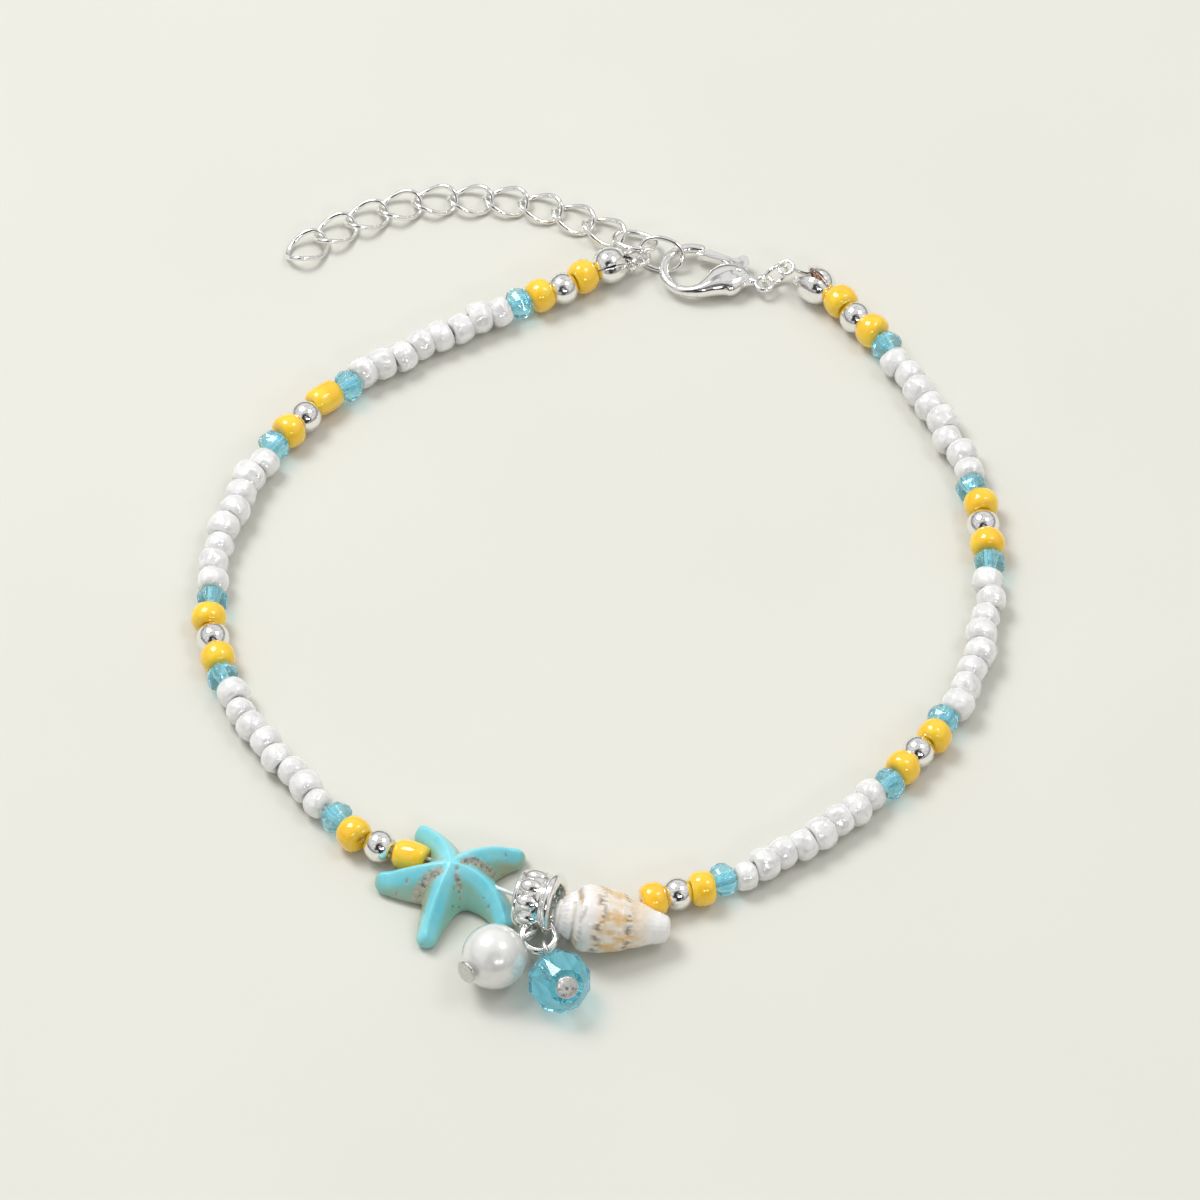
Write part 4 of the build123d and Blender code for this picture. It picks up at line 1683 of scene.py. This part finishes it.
# ---- bail --------------------------------------------------------------------------------
@dataclass
class Bail(Assembly):
    """Silver barrel bead with lobes, flange and ring."""

    yaw: float = -5.0
    barrel_yaw: float = -19.0
    barrel_rise: float = 7.0
    barrel_shift: Point = (0.15, 0.0, 0.05)
    length: float = 4.0
    radius: float = 3.1
    bore: float = 1.9
    lobes: int = 9
    lobe_radius: float = 0.85
    lobe_shape: Point = (0.95, 1.03, 1.5)
    lobe_along: float = -0.56
    ring_radius: float = 1.6
    ring_wire: float = 0.41
    ring_out: float = 3.5
    ring_along: float = 0.4
    ring_drop: float = 12.0
    from_low: Point = (2.227, 5.356, 3.1)

    def centre(self) -> Vector:
        """Middle of the barrel in metres."""
        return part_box("bail")[0] + mm(*self.from_low)

    def axis(self) -> Vector:
        """Direction of the string through the bail."""
        return heading(self.yaw)

    def outward(self) -> Vector:
        """Direction from the barrel to its ring."""
        return heading(self.yaw - 90.0, -self.ring_drop)

    def ring_centre(self) -> Vector:
        """Middle of the ring."""
        return self.centre() + self.axis() * self.ring_along * MM + self.outward() * self.ring_out * MM

    def barrel(self) -> Piece:
        """Turned sleeve with its left rim and its wide right flange.

        Returns:
            The sleeve about Z.
        """
        half, bore, radius = self.length / 2, self.bore, self.radius
        left_rim = arc((radius - 0.56, -half + 0.26), 0.26, -150.0, 100.0, 9)
        waist = [(bore + 0.82, -half + 0.5), (bore + 0.82, 0.62)]
        flange = [(radius - 0.62, 0.72), (radius - 0.3, 0.84), (radius - 0.28, 1.0)]
        band = arc((radius - 0.42, 1.42), 0.42, -70.0, 80.0, 8)
        right_mouth = [(bore + 0.35, half - 0.06), (bore, half - 0.45)]
        left_mouth = [(bore, -half + 0.25), (bore + 0.2, -half + 0.03)]
        return lathe("barrel", left_rim + waist + flange + band + right_mouth + left_mouth, 72)

    def lobe(self) -> Piece:
        """One oval lobe, long along Z.

        Returns:
            The lobe.
        """
        size = self.lobe_radius * MM
        lobe = added(bpy.ops.mesh.primitive_uv_sphere_add, "lobe", segments=28, ring_count=18, radius=size)
        edit(lobe, bpy.ops.transform.resize, value=self.lobe_shape)
        smooth(lobe)
        return lobe

    def build(self) -> None:
        """Make the bail in one soldered piece."""
        pattern = self.lobe()
        parts = [self.barrel()]
        for index in range(self.lobes):
            turn = Matrix.Rotation(math.tau * (index + 0.5) / self.lobes, 4, "Z")
            out = Matrix.Translation(mm(self.radius - 0.8, 0.0, self.lobe_along))
            parts.append(settle(copy_of(pattern, f"lobe_{index}"), turn @ out))
        discard(pattern)
        barrel = joined(parts, "bail_barrel")
        way = heading(self.barrel_yaw, self.barrel_rise)
        settle(barrel, facing(self.centre() + mm(*self.barrel_shift), way, self.outward()))
        normal = self.axis().cross(self.outward())
        loop = ring("bail_ring", self.ring_centre(), normal, self.ring_radius, self.ring_wire)
        self.paint.hand_over(joined([barrel, loop], "silver_bail"), Finish.SILVER, "bail")


# ---- pendants ----------------------------------------------------------------------------
@dataclass(frozen=True)
class HeadedPin:
    """Wire pin: flat head, shank, and a closed eye on the bail's ring."""

    wire_radius: float = 0.28
    head_radius: float = 1.12
    head_thickness: float = 0.36
    eye_radius: float = 0.9

    def head(self, name: str, place: Vector, along: Vector) -> Piece:
        """Flat head with a rounded rim.

        Args:
            name: Name of the head.
            place: Where its back is.
            along: Direction of the shank.

        Returns:
            The head in place.
        """
        half, radius = self.head_thickness / 2, self.head_radius
        rim = arc((radius - half, 0.0), half, -90.0, 90.0, 8)
        upper = [(radius * 0.5, half + 0.015), (0.0, half)]
        head = lathe(name, below(upper) + rim + upper, 40, closed=False)
        return settle(head, facing(place - along * half * MM, along))

    def build(self, name: str, head_at: Vector, bend: Vector, eye: Vector, normal: Vector) -> Piece:
        """Make one pin.

        Args:
            name: Name of the pin.
            head_at: Where the head meets the stone.
            bend: Where the shank leaves the stone.
            eye: Middle of the eye.
            normal: Axis of the eye.

        Returns:
            The pin.
        """
        joint = eye + (bend - eye).normalized() * self.eye_radius * MM
        head = self.head(f"{name}_head", head_at, (bend - head_at).normalized())
        route = [head_at, head_at.lerp(bend, 0.5), bend, bend.lerp(joint, 0.6), joint]
        shank = wire(f"{name}_shank", route, self.wire_radius)
        loop = ring(f"{name}_eye", eye, normal, self.eye_radius, self.wire_radius, 0.0)
        return joined([head, shank, loop], name)


@dataclass
class Pendants(Assembly):
    """Pearl and crystal, each on its pin."""

    bail: Bail
    pearl_radius: float = 3.15
    pearl_bore: float = 0.4
    pearl_shift: Point = (0.3, 0.4, 0.1)
    pearl_hook: float = 160.0
    crystal_radius: float = 3.1
    crystal_half: float = 2.2
    crystal_axis: Point = (0.30, -0.72, 0.626)
    crystal_hook: float = 65.0
    table: float = 1.75
    girdle: float = 0.55
    sides: int = 10
    pin: HeadedPin = HeadedPin()

    def ring_point(self, angle: float) -> Vector:
        """Place on the bail ring's wire.

        Args:
            angle: Place round the ring in degrees.

        Returns:
            The place in metres.
        """
        turn = math.radians(angle)
        spoke = self.bail.axis() * math.cos(turn) + self.bail.outward() * math.sin(turn)
        return self.bail.ring_centre() + spoke * self.bail.ring_radius * MM

    def eye_normal(self, angle: float, toward: Vector) -> Vector:
        """Axis of an eye that hooks the ring's wire at an angle.

        Args:
            angle: Place round the ring in degrees.
            toward: Direction from the eye to its shank.

        Returns:
            The axis.
        """
        turn = math.radians(angle)
        tangent = self.bail.outward() * math.cos(turn) - self.bail.axis() * math.sin(turn)
        return (tangent - toward * tangent.dot(toward)).normalized()

    def build(self) -> None:
        """Make both drops."""
        self.build_pearl()
        self.build_crystal()

    def build_pearl(self) -> None:
        """Make the pearl and its pin."""
        radius, bore = self.pearl_radius, self.pearl_bore
        centre = middle_of("pearl") + mm(*self.pearl_shift)
        along = (self.ring_point(self.pearl_hook) - centre).normalized()
        end = 90.0 - math.degrees(math.asin((bore + 0.05) / radius))
        outside = arc((0.0, 0.0), radius, -end, end, 40)
        pearl = lathe("round_pearl", outside + [(bore, radius - 0.12), (bore, -radius + 0.12)], 72)
        self.paint.hand_over(settle(pearl, facing(centre, along)), Finish.PEARL, "pearl")
        eye = centre + along * (radius + 0.1 + self.pin.eye_radius + self.pin.wire_radius) * MM
        head_at = centre - along * (radius + 0.32) * MM
        normal = self.eye_normal(self.pearl_hook, -along)
        pin = self.pin.build("pearl_eye_pin", head_at, centre, eye, normal)
        self.paint.hand_over(pin, Finish.PIN, "pearl_pin")

    def crystal_body(self) -> Piece:
        """Faceted rondelle about Z.

        Returns:
            The rondelle.
        """
        wide, step = self.crystal_radius * 0.985, math.pi / self.sides
        rows = (
            (self.table, -self.crystal_half, 0.0), (wide, -self.girdle, step),
            (wide, self.girdle, step), (self.table, self.crystal_half, 0.0),
        )
        sections = []
        for radius, height, skew in rows:
            turns = [2 * step * index + skew for index in range(self.sides)]
            corners = [(radius * math.cos(turn), radius * math.sin(turn), height) for turn in turns]
            sections.append([mm(*corner) for corner in corners])
        body = loft("faceted_rondelle", sections)
        apply_modifier(body, "TRIANGULATE")
        return body

    def build_crystal(self) -> None:
        """Make the crystal and its pin."""
        axis = Vector(self.crystal_axis).normalized()
        centre = middle_of("crystal")
        body = settle(self.crystal_body(), facing(centre, axis, Vector((1.0, 0.0, 0.0))))
        apply_modifier(body, "BEVEL", width=0.05 * MM, segments=1, limit_method="ANGLE", angle_limit=0.12)
        smooth(body, 4.0)
        self.paint.hand_over(keep_inside(body), Finish.CRYSTAL, "crystal")
        out = centre - axis * (self.crystal_half + 0.35) * MM
        eye = self.ring_point(self.crystal_hook) + mm(0.05, -0.1, -0.08)
        normal = self.eye_normal(self.crystal_hook, (out - eye).normalized())
        head_at = centre + axis * (self.crystal_half + 0.06) * MM
        pin = self.pin.build("crystal_eye_pin", head_at, out, eye, normal)
        self.paint.hand_over(keep_inside(pin), Finish.PIN, "crystal_pin")


# ---- shell -------------------------------------------------------------------------------
@dataclass
class ConeShell(Assembly):
    """Small cone shell: low spire, shouldered body whorl, blunt tip."""

    tilt: float = 10.0
    yaw: float = -3.0
    length: float = 11.3
    rows: int = 90
    from_low: Point = (-0.5, 3.5, 3.95)
    suture_depth: float = 0.2
    # Height, climb in a full turn, width and share of each seam round the spire.
    sutures: tuple[tuple[float, float, float, float], ...] = (
        (1.95, 0.45, 0.15, 1.0), (0.55, 0.3, 0.1, 0.6),
    )
    mouth_depth: float = 0.55
    mouth_turn: float = 0.52
    mouth_width: float = 0.022
    rib_depth: float = 0.012
    groove_depth: float = 0.01
    lump: float = 0.035
    # Distance from the spire and radius there.
    radii: tuple[Pair, ...] = (
        (0.0, 0.6), (0.4, 1.4), (0.9, 1.85), (1.4, 2.2), (2.0, 2.5), (2.4, 3.02), (3.1, 3.26), (4.7, 3.2),
        (6.2, 2.86), (8.0, 2.22), (9.8, 1.62), (10.7, 1.38), (11.15, 1.12), (11.3, 0.0),
    )

    def radius(self, along: float) -> float:
        """Radius of the shell at a distance from its spire, without the whorls' steps.

        Args:
            along: Distance from the spire.

        Returns:
            The radius in millimetres.
        """
        for (start, first), (end, last) in zip(self.radii, self.radii[1:]):
            if along <= end:
                part = (along - start) / (end - start)
                return first + (last - first) * (0.5 * part + 0.5 * part * part * (3 - 2 * part))
        return 0.0

    def groove(self, spot: Vector, turn: float) -> float:
        """Depth of the seam that climbs round the spire, and of the finer one above it.

        Args:
            spot: Place on the shell about Z.
            turn: Turn round it, from 0 to 1.

        Returns:
            The depth, 1 where it is deepest.
        """
        depth = 0.0
        for height, climb, width, share in self.sutures:
            depth += share * math.exp(-(((spot.z - height - climb * (turn - 0.5)) / width) ** 2))
        return depth

    def wind(self, shell: Piece) -> None:
        """Press whorls, ribs and mouth into the turned shell and store where each point is on it.

        Args:
            shell: The shell about Z, spire down.
        """
        rows = []
        for vertex in shell.data.vertices:
            spot = vertex.co / MM
            turn = (math.atan2(spot.y, spot.x) / math.tau) % 1.0
            groove = self.groove(spot, turn)
            ribs = self.rib_depth * math.sin(spot.z * 17.0) * ease(spot.z, 2.5, 4.0)
            ribs += self.lump * noise.noise(spot * 0.7)
            ribs += self.groove_depth * math.sin(turn * math.tau * 22.0 + spot.z)
            slit = ease(spot.z, 2.6, 4.4) * (1.0 - ease(spot.z, 9.6, 10.4))
            mouth = math.exp(-(((turn - self.mouth_turn) / self.mouth_width) ** 2)) * slit
            outwards = Vector((spot.x, spot.y, 0.0))
            if outwards.length > 0.05:
                swell = ribs - self.suture_depth * groove - self.mouth_depth * mouth
                vertex.co += outwards.normalized() * swell * MM
            rows.append((spot.z / self.length, abs(turn - 0.5) * 2.0, min(1.0, groove)))
        store(shell, ("along", "turn", "suture"), rows)

    def build(self) -> None:
        """Turn the shell, wind its whorls and lay it down."""
        places = [self.length * (row + 0.3) / self.rows for row in range(self.rows)]
        skin = [(max(self.radius(along), 0.02), along) for along in places]
        shell = lathe("sea_snail_shell", [(0.0, 0.0)] + skin + [(0.0, self.length)], 96, closed=False)
        self.wind(shell)
        upward = heading(self.yaw, 90.0 - self.tilt)
        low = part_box("cone_shell")[0]
        settle(shell, facing(low + mm(*self.from_low), heading(self.yaw, -self.tilt), upward))
        self.paint.hand_over(rested(shell), Finish.SHELL, "cone_shell")


# ---- tips, rings and chain ---------------------------------------------------------------
@dataclass
class BeadTip(Assembly):
    """Clamshell tip: two cups hinged round the thread, a tab with a closed loop, and the crimp inside."""

    side: str
    heading: float
    roll: float
    opening: float
    loop_offset: Point
    loop_heading: float
    loop_rise: float
    crimp_finish: Finish
    point: float = 0.1
    radius: float = 1.75
    wall: float = 0.22
    loop_radius: float = 0.75
    loop_wire: float = 0.2

    def frame(self) -> Matrix:
        """The tip's own frame: X along the string, away from the beads."""
        middle = Matrix.Translation(middle_of(f"crimp_{self.side}"))
        return middle @ turned(self.heading, "Z") @ turned(self.roll, "X")

    def cup(self, name: str, way: float) -> Piece:
        """One cup, turned on the hinge by half the opening.

        Args:
            name: Name of the cup.
            way: 1 for the upper cup, -1 for the lower one.

        Returns:
            The cup in the tip's own frame.
        """
        inner = self.radius - self.wall
        inside = [(radius, height) for height, radius in arc((0.0, 0.0), inner, 0.0, 86.0, 12)]
        outside = arc((0.0, 0.0), self.radius, 6.0, 90.0, 16)
        lip = [(inner, 0.06), (inner + 0.05, 0.02), (self.radius - 0.03, 0.02), (self.radius + 0.03, 0.08)]
        cup = lathe(name, inside + lip + outside, 48, closed=False)
        for vertex in cup.data.vertices:
            part = max(0.0, vertex.co.x / (self.radius * MM))
            vertex.co.x *= 1.0 + self.point * part
            vertex.co.y *= 1.0 - 0.6 * self.point * part**2
            vertex.co.z *= 1.0 - self.point * 0.4
        flip = turned(0.0 if way > 0 else 180.0, "X")
        hinge = Matrix.Translation(mm(-self.radius + 0.15, 0.0, 0.0))
        return settle(cup, hinge @ turned(-way * self.opening / 2, "Y") @ hinge.inverted() @ flip)

    def tab(self, loop_at: Vector, normal: Vector) -> Piece:
        """Flat tab from the upper cup's rim to the loop.

        Args:
            loop_at: Middle of the loop.
            normal: Axis of the loop.

        Returns:
            The tab in place.
        """
        start = self.frame() @ mm(self.radius * 0.9, 0.0, 0.62)
        bend = self.frame() @ mm(self.radius + 0.12, 0.0, 0.34)
        reach = bend - loop_at
        side = (reach - normal * reach.dot(normal)).normalized()
        end = loop_at + side * self.loop_radius * MM
        places = (start, bend, bend.lerp(end, 0.55), end)
        sizes = ((0.5, 0.13), (0.42, 0.15), (0.3, 0.17), (0.22, 0.2))
        rows = [(*(place / MM), *size) for place, size in zip(places, sizes)]
        flat = normal.cross(reach).normalized()
        return sweep(f"tab_{self.side}", rounded_ends(sample(rows, 5), 3), flat, 16)

    def collar(self) -> Piece:
        """Small collar where the thread enters at the hinge."""
        collar = lathe("collar", arc((0.45, 0.0), 0.16, 0.0, 324.0, 9), 32)
        return settle(collar, Matrix.Translation(mm(-self.radius + 0.12, 0.0, 0.0)) @ turned(90.0, "Y"))

    def crimp(self) -> Piece:
        """Crimp bead, pressed a little flat.

        Returns:
            The crimp in place.
        """
        upper = arc((0.45, 0.35), 0.28, 0.0, 90.0, 4)
        lower = arc((0.45, -0.35), 0.28, -90.0, 0.0, 4)
        bead = lathe(f"crimp_bead_{self.side}", [(0.36, 0.5), (0.36, -0.5)] + lower + upper, 36)
        edit(bead, bpy.ops.transform.resize, value=(1.0, 0.9, 1.0))
        return settle(bead, self.frame() @ turned(90.0, "Y"))

    def build(self) -> None:
        """Make the tip and its crimp."""
        cups = joined([self.cup("upper_cup", 1.0), self.cup("lower_cup", -1.0), self.collar()], "cups")
        settle(cups, self.frame())
        loop_at = middle_of(f"crimp_{self.side}") + mm(*self.loop_offset)
        normal = heading(self.loop_heading, self.loop_rise)
        loop = ring(f"loop_{self.side}", loop_at, normal, self.loop_radius, self.loop_wire)
        tip = joined([cups, self.tab(loop_at, normal), loop], f"clam_tip_{self.side}")
        self.paint.hand_over(keep_inside(tip), Finish.SILVER, f"bead_tip_{self.side}")
        self.paint.hand_over(self.crimp(), self.crimp_finish, f"crimp_{self.side}")


@dataclass
class Chain(Assembly):
    """Jump rings, the link on the clasp and the extender's twisted links."""

    wire_radius: float = 0.25
    half_length: float = 2.2
    half_width: float = 1.6
    twist: float = 38.0
    fullness: float = 2.3
    # Heading, rise and roll of the two stiff links.
    clasp_link: Point = (163.0, 2.0, -46.0)
    first_link: Point = (159.0, -3.0, 21.5)
    second_roll: float = -29.0
    # Side, heading and rise of the axis, radius, wire radius and seam.
    jump_rings: tuple[tuple[str, float, float, float, float, float], ...] = (
        ("left", 84.0, 74.0, 1.2, 0.24, 200.0), ("right", 123.2, 0.0, 1.35, 0.22, 20.0),
    )

    def link(self, name: str, rolls: Pair) -> Piece:
        """Oval link about the origin, long in X.

        Args:
            name: Name of the link.
            rolls: Roll of its near and its far end, in degrees.

        Returns:
            The link.
        """
        power = 2.0 / self.fullness
        route = []
        for turn in full_turn(28):
            along = swollen(math.cos(turn), power)
            across = swollen(math.sin(turn), power) * self.half_width
            roll = math.radians(rolls[0] + (rolls[1] - rolls[0]) * (along + 1.0) / 2)
            route.append(mm(along * self.half_length, across * math.cos(roll), across * math.sin(roll)))
        return wire(name, route, self.wire_radius, closed=True)

    def laid(self, link: Piece, middle: Vector, turn: float, rise: float = 0.0) -> Piece:
        """Lay a link down at a heading and a rise."""
        return settle(link, Matrix.Translation(middle) @ turned(turn, "Z") @ turned(-rise, "Y"))

    def stiff_link(self, name: str, middle: Vector, place: Point) -> Piece:
        """Untwisted link.

        Args:
            name: Name of the link.
            middle: Its middle in metres.
            place: Its heading, rise and roll in degrees.

        Returns:
            The link in place.
        """
        turn, rise, roll = place
        return self.laid(self.link(name, (roll, roll)), middle, turn, rise)

    def extender(self) -> None:
        """Make the extender's links where the solids' links are."""
        middles = loose_centres("extender_chain")
        middles.sort(key=lambda spot: -spot.x)
        links = [self.stiff_link("first_link", middles[0], self.first_link)]
        for index, middle in enumerate(middles[1:], 1):
            way = middles[min(index + 1, len(middles) - 1)] - middles[index - 1]
            near = self.second_roll if index == 1 else -self.twist
            link = self.link(f"link_{index}", (near, self.twist))
            self.laid(link, middle, math.degrees(math.atan2(way.y, way.x)))
            links.append(rested(link) if index > 1 else link)
        links = [keep_inside(link) for link in links]
        self.paint.hand_over(joined(links, "extender_links"), Finish.SILVER, "extender_chain")

    def build(self) -> None:
        """Make the rings and links."""
        self.extender()
        link = self.stiff_link("link_on_clasp", middle_of("clasp_link"), self.clasp_link)
        self.paint.hand_over(link, Finish.SILVER, "clasp_link")
        for side, turn, rise, radius, wire_radius, seam in self.jump_rings:
            node = f"jump_ring_{side}"
            piece = ring(f"ring_{side}", middle_of(node), heading(turn, rise), radius, wire_radius, seam)
            self.paint.hand_over(piece, Finish.SILVER, node)


@dataclass
class LobsterClasp(Assembly):
    """Lobster clasp: cast body that runs into its round hook, slotted for the lever."""

    yaw: float = 170.25
    pivot: Pair = (2.7, -0.55)
    hook: Point = (7.45, -0.45, 2.8)
    hook_wire: float = 0.48
    # Place on the floor plane, half width and half height of each section.
    body: tuple[tuple[float, float, float, float], ...] = (
        (1.0, 0.0, 0.42, 0.42), (1.55, -0.1, 0.72, 0.6), (2.3, -0.15, 1.4, 0.95), (3.3, 0.05, 1.85, 1.1),
        (4.3, 0.5, 1.75, 1.1), (5.15, 1.2, 1.2, 1.0), (6.05, 1.95, 0.72, 0.8), (7.1, 2.3, 0.52, 0.6),
    )
    # Low corner and high corner.
    slot: tuple[float, float, float, float] = (1.5, -3.1, 5.7, 0.7)
    slot_width: float = 1.2
    tail_radius: float = 0.85
    tail_wire: float = 0.28
    lever: tuple[Pair, ...] = (
        (1.95, -0.3), (1.85, -2.2), (2.0, -2.62), (2.25, -2.85), (2.6, -2.88), (2.85, -2.75), (3.2, -2.35),
        (3.7, -2.4), (4.4, -2.6), (6.15, -3.1), (6.35, -2.95), (6.35, -2.6), (7.25, -2.58), (7.3, -2.4),
        (7.2, -2.2), (6.2, -2.1), (4.4, -1.8), (3.95, -1.5), (3.7, -1.1), (3.45, -0.3), (3.15, 0.02),
        (2.7, 0.15), (2.2, 0.0),
    )
    lever_thickness: float = 0.9
    lever_edge: float = 0.16
    pin_radius: float = 0.35
    pin_length: float = 2.26

    def frame(self) -> Matrix:
        """The clasp's own frame: X from the tail ring to the hook."""
        pivot = Matrix.Translation(middle_of("clasp_pivot"))
        return pivot @ turned(self.yaw, "Z") @ Matrix.Translation(-mm(*self.pivot, 0.0))

    def rows(self) -> list[tuple[float, ...]]:
        """Sections from the tail to the end of the hook.

        Returns:
            The rows for the sweep.
        """
        line = [(x, y, 0.0, width, height) for x, y, width, height in self.body]
        centre_x, centre_y, radius = self.hook
        for spot in arc((centre_x, centre_y), radius, 78.0, -101.3, 11):
            line.append((*spot, 0.0, self.hook_wire, self.hook_wire))
        return rounded_ends(sample(line, 5))

    def cast_body(self) -> Piece:
        """Body, hook and tail ring in one piece.

        Returns:
            The casting in the clasp's own frame.
        """
        body = sweep("cast_body", self.rows(), UP, 28, 2.25)
        low_x, low_y, high_x, high_y = self.slot
        slot = added(bpy.ops.mesh.primitive_cube_add, "slot", size=1.0)
        edit(slot, bpy.ops.transform.resize, value=mm(high_x - low_x, high_y - low_y, self.slot_width))
        settle(slot, Matrix.Translation(mm((low_x + high_x) / 2, (low_y + high_y) / 2, 0.0)))
        apply_modifier(body, "BOOLEAN", operation="DIFFERENCE", solver="EXACT", object=slot)
        discard(slot)
        smooth(body, 40.0)
        tail = ring("tail_ring", Vector((0.0, 0.0, 0.0)), UP, self.tail_radius, self.tail_wire)
        return joined([body, tail], "clasp_casting")

    def rivet(self) -> Piece:
        """The lever's pin with a rounded head at both ends.

        Returns:
            The pin in place.
        """
        half, radius = self.pin_length / 2, self.pin_radius
        upper = [(radius, half - 0.14), (radius * 0.8, half - 0.04), (0.0, half)]
        pin = lathe("clasp_rivet", below(upper) + upper, 32, closed=False)
        return settle(pin, Matrix.Translation(middle_of("clasp_pivot")))

    def build(self) -> None:
        """Make the body, the lever and its pin."""
        place = self.frame()
        self.paint.hand_over(settle(self.cast_body(), place), Finish.SILVER, "clasp_body")
        lever = plate("clasp_thumb_lever", self.lever, self.lever_thickness, self.lever_edge)
        self.paint.hand_over(settle(lever, place), Finish.SILVER, "clasp_lever", LEVER)
        self.paint.hand_over(self.rivet(), Finish.SILVER, "clasp_pivot")


# ---- studio ------------------------------------------------------------------------------
@dataclass
class Studio:
    """Pale floor, soft light and the camera."""

    elevation: float = 53.0
    lens: float = 300.0
    distance: float = 0.98
    aim: Point = (0.067, -0.834, 0.0)
    floor_size: float = 6.0
    floor_colour: Point = (0.69, 0.682, 0.618)
    sky_strength: float = 0.78
    rise: tuple[Pair, ...] = ((0.0, 0.55), (0.12, 0.36), (0.3, 0.75), (0.45, 1.0))
    lines: tuple[Pair, ...] = ((0.44, 1.0), (0.465, 0.45), (0.485, 0.45), (0.51, 1.0))
    dark_patch: tuple[Pair, ...] = ((0.6, 1.0), (0.72, 0.06), (0.8, 0.06), (0.83, 0.55))
    patch_way: Point = (0.05, -0.76, 0.648)
    # Name, place, side and power of each lamp, in metres and watts.
    lamps: tuple[tuple[str, Point, float, float], ...] = (
        ("key_light", (-0.4, 0.35, 0.8), 0.4, 5.2),
        ("fill_light", (0.45, 0.1, 0.85), 0.3, 1.2),
        ("front_light_left", (0.16, -0.86, 0.58), 0.11, 0.55),
        ("front_light_right", (0.42, -0.8, 0.56), 0.13, 0.75),
    )

    def floor(self) -> None:
        """Lay the floor."""
        floor = added(bpy.ops.mesh.primitive_plane_add, "studio_floor", size=self.floor_size)
        shader = Shader("floor_paint")
        lighter = tuple(min(1.0, value * 1.02) for value in self.floor_colour)
        cloud = shader.noise(shader.coordinates(), 30.0, 2.0)
        shader.feed(Base_Color=shader.ramp(cloud, (0.3, self.floor_colour), (0.7, lighter)), Roughness=0.7)
        floor.data.materials.append(shader.material)

    def lamp(self, name: str, place: Point, size: float, power: float) -> None:
        """Hang a square lamp that faces the anklet.

        Args:
            name: Name of the lamp.
            place: Where it hangs, in metres.
            size: Its side in metres.
            power: Its power in watts.
        """
        lamp = added(bpy.ops.object.light_add, name, type="AREA", location=place)
        lamp.data.size = size
        lamp.data.energy = power
        lamp.rotation_euler = (-Vector(place)).to_track_quat("-Z", "Y").to_euler()

    def sky(self) -> None:
        """Soft surround: darker low down, in cloudy lines and in a patch in front."""
        world = bpy.data.worlds.new("studio_surround")
        bpy.context.scene.world = world
        world.use_nodes = True
        nodes = Nodes(world.node_tree)
        place = nodes.node("ShaderNodeTexCoord").outputs["Generated"]
        swirl = nodes.noise(place, 1.9, 1.5)
        split = nodes.node("ShaderNodeSeparateXYZ")
        nodes.link(place, split.inputs[0])
        front = nodes.node("ShaderNodeVectorMath", operation="DOT_PRODUCT")
        nodes.link(place, front.inputs[0])
        nodes.put(front.inputs[1], self.patch_way)
        shift = nodes.maths("SUBTRACT", front.outputs["Value"], 0.43)
        ragged = nodes.maths("ADD", nodes.times(swirl, 0.5), shift)
        colour = nodes.ramp(split.outputs["Z"], *self.rise)
        colour = nodes.blend(1.0, colour, nodes.ramp(swirl, *self.lines), "MULTIPLY")
        colour = nodes.blend(1.0, colour, nodes.ramp(ragged, *self.dark_patch), "MULTIPLY")
        back = world.node_tree.nodes["Background"]
        nodes.link(colour, back.inputs["Color"])
        nodes.put(back.inputs["Strength"], self.sky_strength)

    def camera(self) -> None:
        """Place the camera."""
        away = heading(-90.0, self.elevation)
        place = mm(*self.aim) + away * self.distance
        camera = added(bpy.ops.object.camera_add, "studio_camera", location=place)
        camera.data.lens = self.lens
        camera.data.sensor_width = 36.0
        camera.data.clip_start = 0.01
        camera.data.clip_end = 20.0
        camera.rotation_euler = (-away).to_track_quat("-Z", "Y").to_euler()
        bpy.context.scene.camera = camera

    def build(self) -> None:
        """Set up floor, light and camera."""
        bpy.context.scene.view_settings.view_transform = "Standard"
        self.floor()
        self.sky()
        for lamp in self.lamps:
            self.lamp(*lamp)
        self.camera()


def main() -> None:
    """Build the anklet's looks in order."""
    logging.basicConfig(level=logging.INFO, format="%(name)s: %(message)s")
    paint = Paint()
    Studio().build()
    bail = Bail(paint)
    for assembly in (
        StringOfBeads(paint, "left"), StringOfBeads(paint, "right"), Starfish(paint), bail,
        Pendants(paint, bail), ConeShell(paint),
        BeadTip(paint, "left", 29.7, -50.0, 13.0, (2.547, 0.448, -0.411), 151.0, 0.0, Finish.SILVER),
        BeadTip(
            paint, "right", 136.2, 90.0, 30.0, (-3.118, 2.237, 0.179), 213.0, 75.0, Finish.COPPER, 0.42,
        ),
        Chain(paint), LobsterClasp(paint),
    ):
        assembly.build()
    paint.coat(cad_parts["thread"], Finish.NYLON)


if __name__ == "__main__":
    main()
